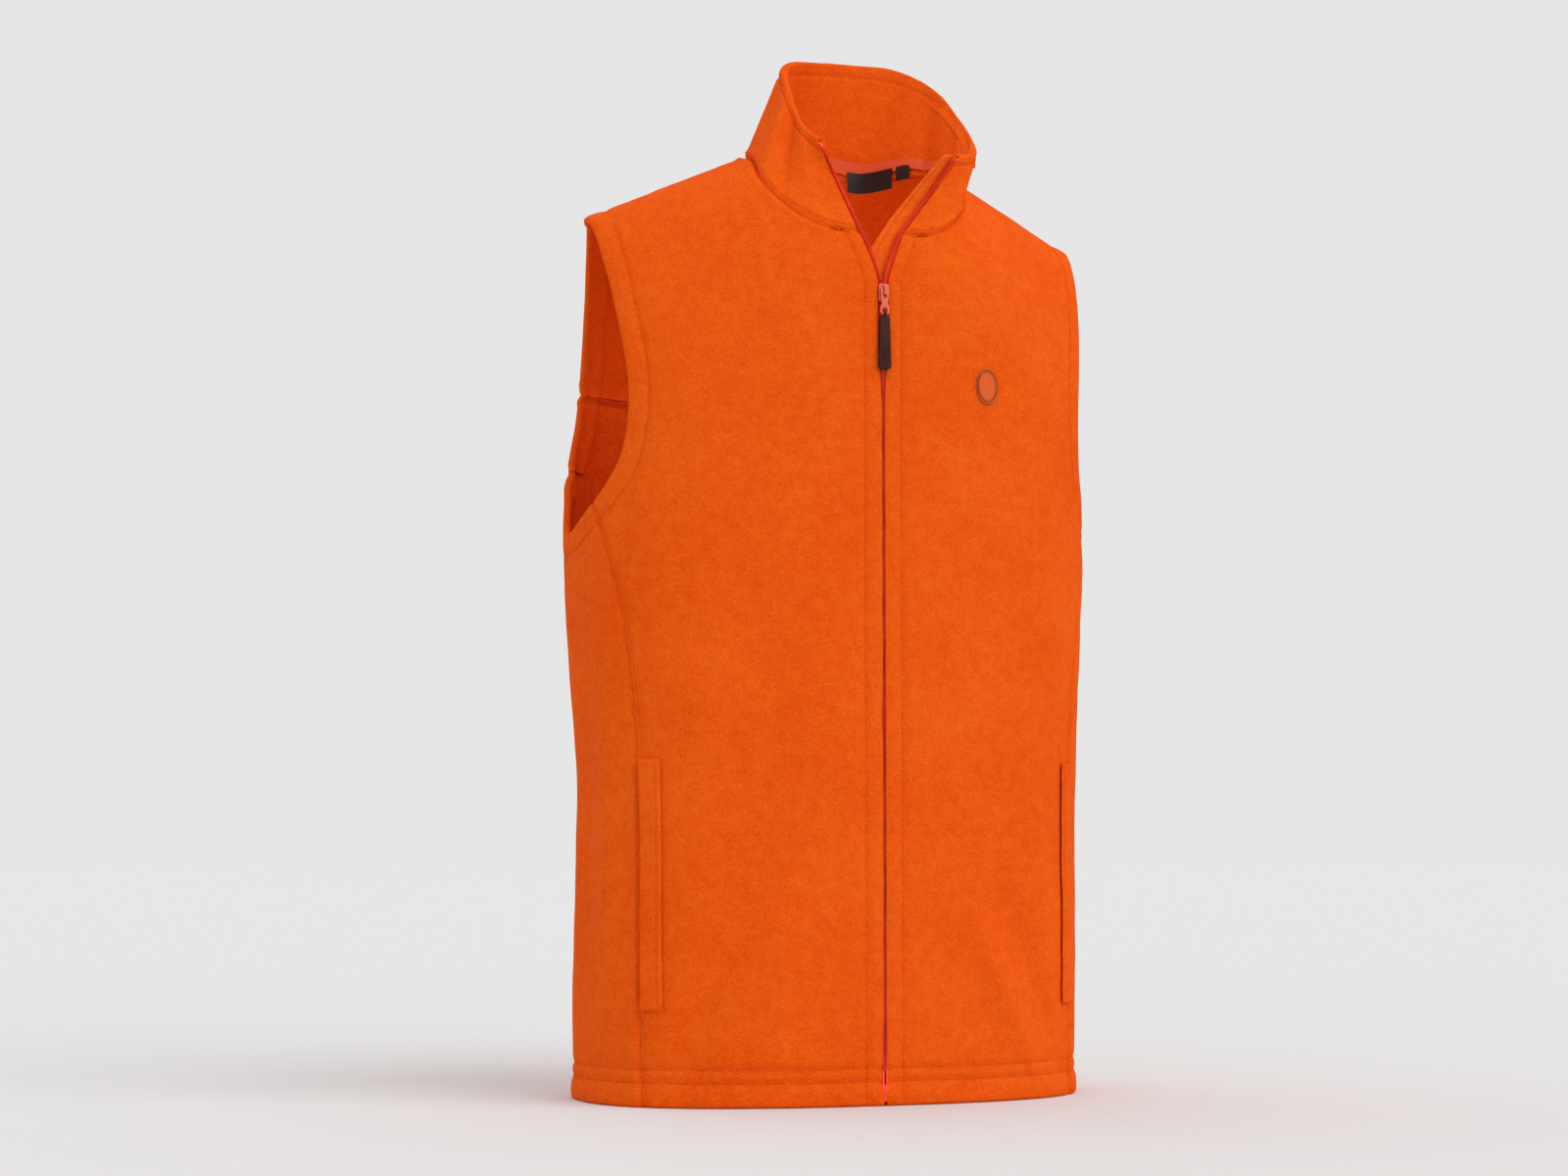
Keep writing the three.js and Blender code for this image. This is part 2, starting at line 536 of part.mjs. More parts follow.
const collarAlong = (up) => NECK_SEAM_HEIGHT + up * collarEdgeMm;
const zipStations = [
  ...steps(HEM_BAND, OPEN_FROM, 6),
  ...steps(OPEN_FROM, NECK_SEAM_HEIGHT - 2, 5).slice(1),
  ...steps(0.04, 0.84, 4).map(collarAlong),
];

// A ribbon beside the zip edge. profile lists [out, front, back] across it.
function zipRibbon(isLeft, profile, from, to) {
  const stations = [from, ...zipStations.filter((s) => s > from + 2 && s < to), to];
  const at = (i, j, face) => besideZip(isLeft, stations[j], profile[i][0], profile[i][face]);
  return sheet(profile.length - 1, stations.length - 1, (i, j) => at(i, j, 1), (i, j) => at(i, j, 2));
}

const boxTop = BOX.bottom + BOX.height;
const tapeFrom = boxTop + RUNNING_GAP;
const coilFrom = boxTop + BOX.pinAbove + RUNNING_GAP;
const tapeProfile = steps(TAPE.inner, TAPE.outer, 2).map((out) => [out, TAPE.front, TAPE.back]);
const coilProfile = [[COIL.inner, COIL.front, COIL.back], [COIL.outer, COIL.front, COIL.back]];
const flapBack = FLAP.front + FLEECE;
const flapSewnBack = FLAP.sewnFront + FLEECE;
const flapProfile = [
  [-FLAP.past, FLAP.front, flapBack], [FLAP.step, FLAP.front, flapBack],
  [FLAP.sewnFrom, FLAP.sewnFront, flapSewnBack], [FLAP.sewn, FLAP.sewnFront, flapSewnBack],
];
const coilTop = collarAlong(TOP_STOP.from) - RUNNING_GAP;
const zipTape = (isLeft) => zipRibbon(isLeft, tapeProfile, tapeFrom, collarAlong(0.97));
const zipCoil = (isLeft) => zipRibbon(isLeft, coilProfile, coilFrom, coilTop);
const topStop = (isLeft) => zipRibbon(isLeft,
  [
    [COIL.inner - 0.2, COIL.front - 0.3, COIL.back + 0.2],
    [COIL.outer + 0.4, COIL.front - 0.3, COIL.back + 0.2],
  ],
  collarAlong(TOP_STOP.from), collarAlong(TOP_STOP.to));
const windFlap = zipRibbon(true, flapProfile, 2, collarAlong(0.98));

// ---- Hard pieces of the zip ---------------------------------------------------------------------------

const wasm = await Module();
wasm.setup();

function toSolid(geometry) {
  const bare = geometry.clone();
  bare.deleteAttribute("normal");
  bare.deleteAttribute("uv");
  const merged = mergeVertices(bare, 1e-4);
  return new wasm.Manifold(new wasm.Mesh({
    numProp: 3,
    vertProperties: new Float32Array(merged.getAttribute("position").array),
    triVerts: new Uint32Array(merged.index.array),
  }));
}

function toGeometry(solid) {
  const mesh = solid.getMesh();
  const geometry = new THREE.BufferGeometry();
  geometry.setAttribute("position", new THREE.BufferAttribute(mesh.vertProperties, 3));
  geometry.setIndex(new THREE.BufferAttribute(mesh.triVerts, 1));
  geometry.computeVertexNormals();
  return geometry;
}

const block = (x0, x1, y0, y1, z0, z1) =>
  toSolid(new THREE.BoxGeometry(x1 - x0, y1 - y0, z1 - z0)
    .translate((x0 + x1) / 2, (y0 + y1) / 2, (z0 + z1) / 2));
// A bar along X.
const bar = (radius, halfLength, y, z, sides) =>
  toSolid(new THREE.CylinderGeometry(radius, radius, 2 * halfLength, sides)
    .rotateZ(Math.PI / 2).translate(0, y, z));
// A flat plate with an outline in X and Z, from y0 to y1.
const plate = (shape, y0, y1, curveSegments = 8) =>
  toSolid(new THREE.ExtrudeGeometry(shape, { depth: y1 - y0, bevelEnabled: false, curveSegments })
    .rotateX(Math.PI / 2).translate(0, y1, 0));

const faceY = -FRONT_DEPTH; // the cloth's outer face at the zip
const behind = (depth) => faceY + depth;

const sliderBottom = SLIDER.top - SLIDER.height;
function sliderShape() {
  const { top, halfWidth: w, corner } = SLIDER;
  const taper = [0.9, 4.5]; // the lower end narrows by this much over this height
  const shape = new THREE.Shape();
  shape.moveTo(-w + taper[0], sliderBottom);
  shape.lineTo(w - taper[0], sliderBottom);
  shape.quadraticCurveTo(w, sliderBottom + 1, w, sliderBottom + taper[1]);
  shape.lineTo(w, top - corner);
  shape.quadraticCurveTo(w, top, w - corner, top);
  shape.lineTo(-w + corner, top);
  shape.quadraticCurveTo(-w, top, -w, top - corner);
  shape.lineTo(-w, sliderBottom + taper[1]);
  shape.quadraticCurveTo(-w, sliderBottom + 1, -w + taper[0], sliderBottom);
  return shape;
}

const plateFront = behind(-SLIDER.proud);
const plateBack = plateFront + SLIDER.plate;
const rearFront = behind(TAPE.back + RUNNING_GAP);
const overlap = 0.1; // joined pieces reach this far into each other
function sliderBody() {
  const { top, halfWidth: w, corner, rear: rearThickness } = SLIDER;
  const front = plate(sliderShape(), plateFront, plateBack);
  const rear = plate(sliderShape(), rearFront, rearFront + rearThickness);
  const channel = COIL.outer + RUNNING_GAP; // half the width that the two coils run in
  const wallBack = behind(TAPE.front - 2 * RUNNING_GAP);
  const wallInset = 0.05; // the walls' outer faces lie just inside the plates' edges
  const wallTop = top - 4;
  const sideWall = (x0, x1) => block(x0, x1, plateBack - overlap, wallBack, sliderBottom + corner, wallTop);
  const leftWall = sideWall(channel, w - wallInset);
  const rightWall = sideWall(wallInset - w, -channel);
  const postHalf = COIL.inner - RUNNING_GAP;
  const post = block(-postHalf, postHalf, plateBack - overlap, rearFront + overlap, wallTop, top - 0.6);
  const { halfWidth, rise, wall, bottom: archBottom, top: archTop } = BRIDGE;
  const arch = block(-halfWidth, halfWidth, plateFront - rise, plateFront + overlap, archBottom, archTop)
    .subtract(block(-2 * halfWidth, 2 * halfWidth, plateFront - rise + SLIDER.plate, plateFront + 0.001,
      archBottom + wall, archTop - wall));
  return [leftWall, rightWall, post, rear, arch].reduce((sum, piece) => sum.add(piece), front);
}

const pullerY = plateFront - PULLER.proud; // middle plane of the puller as it hangs
const pullerAxisZ = SLIDER.top - PULLER.axisBelowTop;
const eyeletZ = pullerAxisZ - PULLER.eyeletDrop;
const linkZ = eyeletZ - (PULLER.eyelet + PULLER.eyeletHole) / 2;

function sliderPuller() {
  const { thickness, halfWidth: w, window, windowHalf, eyelet, eyeletHole, waist } = PULLER;
  const windowZ = pullerAxisZ - window; // lower end of the window, where the sides draw in to the waist
  const waistFrom = windowZ - 1.5;
  const waistTo = eyeletZ + 1.3 * eyelet;
  const shape = new THREE.Shape();
  shape.moveTo(-w, pullerAxisZ);
  shape.lineTo(-w, windowZ);
  shape.quadraticCurveTo(-waist, waistFrom, -waist, waistTo);
  shape.quadraticCurveTo(-eyelet, eyeletZ + 3, -eyelet, eyeletZ);
  shape.absarc(0, eyeletZ, eyelet, Math.PI, 2 * Math.PI, false);
  shape.quadraticCurveTo(eyelet, eyeletZ + 3, waist, waistTo);
  shape.quadraticCurveTo(waist, waistFrom, w, windowZ);
  shape.lineTo(w, pullerAxisZ);
  shape.closePath();
  shape.holes.push(new THREE.Path().absarc(0, eyeletZ, eyeletHole, 0, 2 * Math.PI, true));
  const body = plate(shape, pullerY - thickness / 2, pullerY + thickness / 2, 12)
    .subtract(block(-windowHalf, windowHalf, pullerY - thickness, pullerY + thickness,
      windowZ, pullerAxisZ + 1));
  return body.add(bar(PULLER.barRadius, w - 0.01, pullerY, pullerAxisZ, 12));
}

function pullTab() {
  const { link, linkHole, linkHalfWidth, thickness, top, bottom, length, corner, topCorner } = TAB;
  const ring = bar(link, linkHalfWidth, pullerY, linkZ, 20)
    .subtract(bar(linkHole, 2 * linkHalfWidth, pullerY, linkZ, 20));
  const topZ = linkZ - (link + linkHole) / 2;
  const bottomZ = topZ - length;
  const shape = new THREE.Shape();
  shape.moveTo(-top / 2 + topCorner, topZ);
  shape.quadraticCurveTo(-top / 2, topZ, -top / 2, topZ - topCorner);
  shape.lineTo(-bottom / 2, bottomZ + corner);
  shape.quadraticCurveTo(-bottom / 2, bottomZ, -bottom / 2 + corner, bottomZ);
  shape.lineTo(bottom / 2 - corner, bottomZ);
  shape.quadraticCurveTo(bottom / 2, bottomZ, bottom / 2, bottomZ + corner);
  shape.lineTo(top / 2, topZ - topCorner);
  shape.quadraticCurveTo(top / 2, topZ, top / 2 - topCorner, topZ);
  return ring.add(plate(shape, pullerY - thickness / 2, pullerY + thickness / 2));
}

// The pins, one on each side, lie in line with the coils.
const PIN = {
  inner: COIL.inner,
  outer: COIL.outer - 0.3,
  front: behind(COIL.front + 0.1),
  back: behind(COIL.back - 0.1),
};
const leftPin = (z0, z1) => block(PIN.inner, PIN.outer, PIN.front, PIN.back, z0, z1);
const rightPin = (z0, z1) => block(-PIN.outer, -PIN.inner, PIN.front, PIN.back, z0, z1);
const pinTop = boxTop + BOX.pinAbove;

function retainerBox() {
  const w = SLIDER.halfWidth;
  const body = block(-w, w, behind(-BOX.proud), behind(FLAP.front - 1), BOX.bottom, boxTop);
  const socket = block(PIN.inner - RUNNING_GAP, PIN.outer + RUNNING_GAP, PIN.front - RUNNING_GAP,
    PIN.back + RUNNING_GAP, BOX.bottom + BOX.wall, boxTop + 1);
  return body.subtract(socket).add(rightPin(boxTop - 1, pinTop));
}

// ---- Pockets, badge -----------------------------------------------------------------------------------

// A patch on the left front between two distances from the side front seam and two heights.
function frontPatch({ fromSeam, toSeam, bottom, top, front, thickness, columns, rows }) {
  const heights = steps(bottom, top, rows);
  const spotsByRow = heights.map((z) => {
    const share = crossing(princess, (spot) => bodyPoint(spot).z - z, 0, 1);
    const across = lineAlong((t) => spotAround(lerp(princess(share)[0], degToRad(5), t), z), 80);
    return steps(fromSeam, toSeam, columns).map((mm) => across(mm / across.mm));
  });
  const at = (i, j, depth) =>
    bodyPoint(spotsByRow[j][i]).addScaledVector(bodyNormal(spotsByRow[j][i]), -depth);
  return sheet(columns, rows, (i, j) => at(i, j, front), (i, j) => at(i, j, front + thickness));
}

const pocketWelt = frontPatch({
  fromSeam: POCKET.fromSeam, toSeam: POCKET.fromSeam + POCKET.welt, bottom: POCKET.bottom, top: POCKET.top,
  front: -RUNNING_GAP - FLEECE, thickness: FLEECE, columns: 2, rows: 5,
});
const pocketBag = frontPatch({
  fromSeam: 2 * POCKET.fromSeam, toSeam: POCKET.bagDepth,
  bottom: POCKET.bottom - POCKET.bagDrop, top: POCKET.top + POCKET.bagRise,
  front: FLEECE + POCKET.bagGap, thickness: POCKET.bagThickness, columns: 8, rows: 5,
});

function chestBadge() {
  const columns = steps(-BADGE.width / 2, BADGE.width / 2, 3);
  const rows = steps(-BADGE.height / 2, BADGE.height / 2, 3);
  const narrowing = [0.75, 1, 1, 0.75]; // from the bottom row to the top
  const at = (i, j, depth) => {
    const spot = spotOver(BADGE.x + columns[i] * narrowing[j], BADGE.z + rows[j]);
    return bodyPoint(spot).addScaledVector(bodyNormal(spot), -depth);
  };
  return sheet(3, 3, (i, j) => at(i, j, -BADGE.proud - BADGE.thickness), (i, j) => at(i, j, -BADGE.proud));
}

// ---- Assembly -----------------------------------------------------------------------------------------

const finish = (color, roughness, metalness = 0) =>
  new THREE.MeshStandardMaterial({ color, roughness, metalness });
const fleece = finish(0xe65f1d, 0.95);
const fleeceInside = finish(0xe56520, 0.95);
const tapeWeave = finish(0xdd4c19, 0.8);
const nylon = finish(0xe0421c, 0.45);
const enamel = finish(0xe46d4c, 0.35, 0.2);
const moulded = finish(0x3f1409, 0.6);
const satin = finish(0x14100f, 0.7);
const neckTwill = finish(0xf0683c, 0.8);
const thread = finish(0x8a5a2a, 0.7);

const vest = new THREE.Group();
const slidingPieces = new THREE.Group();
vest.add(slidingPieces);

function place(name, geometry, material, group = vest) {
  const mesh = new THREE.Mesh(geometry, material);
  mesh.name = name;
  group.add(mesh);
}

function placePair(name, left, material) {
  place(`left_${name}`, left, material);
  place(`right_${name}`, mirrored(left), material);
}

placePair("front_panel", frontPanel, fleece);
placePair("side_panel", sidePanel, fleece);
place("back_panel", backPanel, fleece);
place("back_yoke", backYoke, fleece);
place("collar_outer", collarOuter, fleece);
place("collar_lining", collarLining, fleeceInside);
place("wind_flap", windFlap, fleeceInside);
place("neck_tape", neckTape, neckTwill);
place("neck_label", neckLabel, satin);
place("size_tab", sizeTab, satin);
placePair("pocket_welt", pocketWelt, fleece);
placePair("pocket_bag", pocketBag, fleeceInside);
place("chest_badge", chestBadge(), thread);
for (const isLeft of [true, false]) {
  const side = isLeft ? "left" : "right";
  place(`${side}_zip_tape`, zipTape(isLeft), tapeWeave);
  place(`${side}_zip_coil`, zipCoil(isLeft), nylon);
  place(`${side}_top_stop`, topStop(isLeft), nylon);
}
place("retainer_box", toGeometry(retainerBox()), nylon);
place("insertion_pin", toGeometry(leftPin(BOX.bottom + BOX.wall + RUNNING_GAP, pinTop)), nylon);
place("slider_body", toGeometry(sliderBody()), enamel, slidingPieces);
place("slider_puller", toGeometry(sliderPuller()), enamel, slidingPieces);
place("pull_tab", toGeometry(pullTab()), moulded, slidingPieces);

// The origin is under the middle of the whole vest, at hem level.
const box = new THREE.Box3().setFromObject(vest);
const middle = box.getCenter(new THREE.Vector3());
vest.position.set(-middle.x, -middle.y, -box.min.z);

export default vest;
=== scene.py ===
"""A blaze orange fleece vest: panels, collar, pockets and zip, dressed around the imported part.

Lengths in the classes are millimetres on the garment; meshes are built in metres.
"""
from __future__ import annotations

import json
import logging
import math
from dataclasses import dataclass, field
from enum import Enum
from typing import Callable, Sequence

import bmesh
import bpy
import numpy as np
from mathutils import Matrix, Vector, noise

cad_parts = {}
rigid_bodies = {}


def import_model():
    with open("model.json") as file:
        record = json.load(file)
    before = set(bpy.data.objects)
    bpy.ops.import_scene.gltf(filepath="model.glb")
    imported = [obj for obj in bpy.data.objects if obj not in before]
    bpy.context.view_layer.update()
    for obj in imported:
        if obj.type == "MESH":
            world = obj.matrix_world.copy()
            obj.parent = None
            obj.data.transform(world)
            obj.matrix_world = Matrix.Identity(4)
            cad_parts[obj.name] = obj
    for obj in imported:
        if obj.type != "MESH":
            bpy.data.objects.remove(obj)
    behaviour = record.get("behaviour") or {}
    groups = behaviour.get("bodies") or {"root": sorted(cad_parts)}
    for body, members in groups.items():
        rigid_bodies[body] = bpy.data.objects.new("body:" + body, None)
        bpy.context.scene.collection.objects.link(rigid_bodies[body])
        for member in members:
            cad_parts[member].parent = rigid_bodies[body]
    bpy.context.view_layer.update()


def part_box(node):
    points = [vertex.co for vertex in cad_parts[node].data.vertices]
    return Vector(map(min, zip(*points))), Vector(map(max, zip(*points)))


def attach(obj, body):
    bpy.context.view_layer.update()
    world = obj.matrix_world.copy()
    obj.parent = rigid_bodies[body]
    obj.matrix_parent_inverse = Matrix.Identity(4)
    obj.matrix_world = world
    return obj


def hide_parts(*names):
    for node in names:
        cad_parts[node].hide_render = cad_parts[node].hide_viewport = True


LOG = logging.getLogger("vest")
MM = 0.001
Array = np.ndarray
SpotsOf = Callable[[Array], Array]


class Side(Enum):
    """A side of the wearer's body."""

    LEFT = "left"
    RIGHT = "right"

    @property
    def sign(self) -> int:
        """The sign of x on this side."""
        return 1 if self is Side.LEFT else -1


class Edge(Enum):
    """How a panel's border is finished."""

    SEAM = "seam"
    TURNED_IN = "turned in"
    LIP = "lip"


# ---- Numbers ------------------------------------------------------------------------------------------


def ease(t: Array | float) -> Array | float:
    """A smooth step from 0 to 1."""
    t = np.clip(t, 0.0, 1.0)
    return t * t * (3 - 2 * t)


def lerp(a: Array | float, b: Array | float, t: Array | float) -> Array | float:
    """The value at share t between a and b."""
    return a + (b - a) * t


def unit(vectors: Array) -> Array:
    """Vectors along the last axis, scaled to length 1."""
    return vectors / np.maximum(np.linalg.norm(vectors, axis=-1, keepdims=True), 1e-12)


def eased_through(at: Array, levels: Sequence[float], values: Sequence[float]) -> Array:
    """Values passed at given levels, with a smooth step between neighbours."""
    levels, values = np.asarray(levels, float), np.asarray(values, float)
    i = np.clip(np.searchsorted(levels, at, side="left") - 1, 0, len(levels) - 2)
    return lerp(values[i], values[i + 1], ease((at - levels[i]) / (levels[i + 1] - levels[i])))


def bump(distance: Array, width: float) -> Array:
    """A bell of height 1 that has faded out at about twice its width."""
    return np.exp(-((distance / width) ** 2))


def nearest(points: Array, line: Array) -> Array:
    """Each point's distance from a dense line of points.

    Args:
        points: Points in mm along the last axis.
        line: The line's points.

    Returns:
        Millimetres, one for each point.
    """
    flat = points.reshape(-1, 3)
    out = np.empty(len(flat))
    for at in range(0, len(flat), 4000):
        part = flat[at : at + 4000]
        out[at : at + 4000] = np.sqrt(((part[:, None] - line[None]) ** 2).sum(-1).min(1))
    return out.reshape(points.shape[:-1])


def lumps(points: Array, size: float, seed: float) -> Array:
    """Smooth noise from -1 to 1 with lumps of about a given size in mm."""
    flat = points.reshape(-1, 3) / size
    values = [noise.noise(Vector((x, y, z + seed))) for x, y, z in flat]
    return np.array(values).reshape(points.shape[:-1])


# ---- The body surface ---------------------------------------------------------------------------------


@dataclass(frozen=True)
class BodyShape:
    """The surface that the cloth lies on. A spot is [around, level]: radians from the front centre, and
    0 at the hem to 1 on top of the shoulder."""

    neck_height: float = 706.0
    tip_height: float = 646.0
    neck_x: float = 66.0
    tip_x: float = 204.0
    upright_centre: float = 600.0
    upright_side: float = 480.0
    back_rise: float = 18.0
    front_depth: float = 122.0
    levels: tuple[float, ...] = (0, 0.28, 0.55, 0.8, 1)
    half_widths: tuple[float, ...] = (193, 191, 202, 206, 206)
    back_depths: tuple[float, ...] = (96, 90, 98, 100, 100)
    ridge_neck: float = -30.0
    ridge_tip: float = -15.0
    upright_share: float = 0.64

    def roundness(self, level: Array) -> Array:
        """The exponent of the outline seen from above."""
        return lerp(2.5, 3.0, ease((level - 0.55) / 0.45))

    def half_width(self, level: Array) -> Array:
        """Half the width at a level."""
        return eased_through(level, self.levels, self.half_widths)

    def shoulder_share(self, x: Array) -> Array:
        """How far x is along the shoulder line, from the neck point to the tip."""
        return np.clip((np.abs(x) - self.neck_x) / (self.tip_x - self.neck_x), 0, 1.1)

    def upright(self, x: Array) -> Array:
        """The height up to which the cloth is upright."""
        return lerp(self.upright_centre, self.upright_side, ease((np.abs(x) - 25) / (self.tip_x - 54)))

    def top(self, x: Array, is_back: Array) -> Array:
        """The height of the shoulder line, or of the back of the neck."""
        rise = np.where(is_back, self.back_rise * (1 - ease(np.abs(x) / self.neck_x)), 0.0)
        return lerp(self.neck_height, self.tip_height, self.shoulder_share(x)) + rise

    def points(self, spots: Array) -> Array:
        """Places in mm.

        Args:
            spots: Spots along the last axis.

        Returns:
            x, y and z along the last axis.
        """
        around, level = spots[..., 0], spots[..., 1]
        power = 2 / self.roundness(level)
        sin, cos = np.sin(around), np.cos(around)
        x = self.half_width(level) * np.sign(sin) * np.abs(sin) ** power
        depth = np.where(cos < 0, eased_through(level, self.levels, self.back_depths), -self.front_depth)
        reach = depth * np.abs(cos) ** power
        upright = self.upright(x)
        turn = np.clip((level - self.upright_share) / (1 - self.upright_share), 0, 1) * math.pi / 2
        ridge = lerp(self.ridge_neck, self.ridge_tip, ease(self.shoulder_share(x)))
        z = np.where(level <= self.upright_share, upright * level / self.upright_share,
                     lerp(upright, self.top(x, cos < 0), np.sin(turn)))
        return np.stack([x, lerp(ridge, reach, np.cos(turn)), z], -1)

    def normals(self, spots: Array) -> Array:
        """Unit vectors out of the body at spots.

        Args:
            spots: Spots along the last axis.

        Returns:
            Unit vectors along the last axis.
        """
        step = 1e-4
        low = np.stack([spots[..., 0], np.clip(spots[..., 1], step, 1 - step)], -1)
        across = self.points(low + [step, 0]) - self.points(low - [step, 0])
        up = self.points(low + [0, step]) - self.points(low - [0, step])
        return unit(np.cross(across, up))

    def at_x(self, x: float, level: float, is_back: bool = False) -> tuple[float, float]:
        """The spot at a given x on a level."""
        share = min(abs(x) / float(self.half_width(np.float64(level))), 1.0)
        around = math.asin(share ** (float(self.roundness(level)) / 2))
        return (math.copysign(1.0, x) * (math.pi - around if is_back else around), level)

    def over(self, x: float, z: float, is_back: bool = False) -> tuple[float, float]:
        """The spot at a given x and height.

        Args:
            x: Distance to the wearer's left.
            z: Height above the hem.
            is_back: Whether the spot is on the back.

        Returns:
            The spot.
        """
        upright, top = float(self.upright(x)), float(self.top(x, np.bool_(is_back)))
        if z <= upright:
            return self.at_x(x, self.upright_share * z / upright, is_back)
        rise = math.asin(min((z - upright) / (top - upright), 1.0)) * 2 / math.pi
        return self.at_x(x, self.upright_share + (1 - self.upright_share) * rise, is_back)

    def around_at(self, around: float, z: float) -> tuple[float, float]:
        """The spot at a given angle and height.

        Args:
            around: The angle from the front centre.
            z: Height above the hem.

        Returns:
            The spot.
        """
        low, high = 0.0, 1.0
        for _ in range(30):
            middle = (low + high) / 2
            if self.points(np.array([around, middle]))[2] < z:
                low = middle
            else:
                high = middle
        return (around, low)


BODY = BodyShape()


class Line:
    """A line of spots on the body, called with a share of its length."""

    def __init__(self, spots: Array) -> None:
        """Measures the line.

        Args:
            spots: Spots in order.
        """
        self.spots = np.asarray(spots, float)
        gaps = np.linalg.norm(np.diff(BODY.points(self.spots), axis=0), axis=1)
        self.run = np.concatenate([[0], np.cumsum(gaps)])
        self.mm = float(self.run[-1])

    @classmethod
    def through(cls, spots: Sequence[tuple[float, float]]) -> "Line":
        """A smooth line through a few spots.

        Args:
            spots: The spots to pass through, in order.

        Returns:
            The line.
        """
        p = np.asarray(spots, float)
        n = len(p)
        at = np.linspace(0, n - 1, 24 * n + 1)
        i = np.minimum(at.astype(int), n - 2)
        t = (at - i)[:, None]
        before, after = p[np.maximum(i - 1, 0)], p[np.minimum(i + 2, n - 1)]
        a, b = p[i], p[i + 1]
        va, vb = (b - before) / 2, (after - a) / 2
        return cls((2 * a - 2 * b + va + vb) * t**3 + (-3 * a + 3 * b - 2 * va - vb) * t**2 + va * t + a)

    def __call__(self, share: Array | float) -> Array:
        """Spots at shares of the length."""
        at = np.clip(share, 0, 1) * self.mm
        return np.stack([np.interp(at, self.run, self.spots[:, k]) for k in (0, 1)], -1)

    def part(self, start: float, end: float) -> "Line":
        """The stretch between two shares."""
        return Line(self(np.linspace(start, end, 80)))

    def crossing(self, measure: Callable[[Array], float], start: float, end: float) -> float:
        """The share where a measure passes zero.

        Args:
            measure: A signed measure of a spot.
            start: Share to search from.
            end: Share to search to.

        Returns:
            The share of the length.
        """
        low, high = start, end
        positive = measure(self(low)) > 0
        for _ in range(40):
            middle = (low + high) / 2
            if (measure(self(middle)) > 0) == positive:
                low = middle
            else:
                high = middle
        return low

    def dense(self, mirror: bool = False) -> Array:
        """Points about 2 mm apart."""
        points = BODY.points(self(np.linspace(0, 1, max(int(self.mm / 2), 8))))
        return points * [-1, 1, 1] if mirror else points


def to_right(spots: Array) -> Array:
    """Back spots carried over to the other side."""
    return np.stack([2 * math.pi - spots[..., 0], spots[..., 1]], -1)


@dataclass(frozen=True)
class Pattern:
    """The seam lines of the wearer's left side."""

    edge_gap: float = 4.3
    neck_seam: float = 634.0
    open_from: float = 596.0
    open_half: float = 14.0
    yoke_height: float = 529.0
    armhole_spots: tuple[tuple[float, float], ...] = (
        (70, 1), (66.5, 0.88), (61.5, 0.778), (58, 0.69), (61, 0.63), (69, 0.595), (82, 0.568), (94, 0.555),
        (104, 0.58), (112, 0.625), (121, 0.68), (125, 0.76), (124, 0.84), (118, 0.94), (110, 1))
    princess_spots: tuple[tuple[float, float], ...] = (
        (68.5, 0.533), (63.3, 0.48), (61.2, 0.42), (60, 0.33), (58.4, 0.09), (57, 0))
    back_seam_spots: tuple[tuple[float, float], ...] = ((115, 0.5), (115, 0.3), (112, 0))
    front_neck_spots: tuple[tuple[float, float], ...] = (
        (33, 0.717), (51, 0.741), (70, 0.793), (80, 0.862), (78, 0.94))
    back_neck_spots: tuple[tuple[float, float], ...] = ((62, 0.965), (38, 0.912), (0, 0.898))

    def edge_x(self, z: float) -> float:
        """Half the width of the zip opening at a height."""
        share = min(max((z - self.open_from) / (self.neck_seam - self.open_from), 0), 2)
        return self.edge_gap + self.open_half * share**1.25

    def zip_edge(self, z: float) -> tuple[float, float]:
        """The spot on the left zip edge at a height."""
        return BODY.over(self.edge_x(z), z)


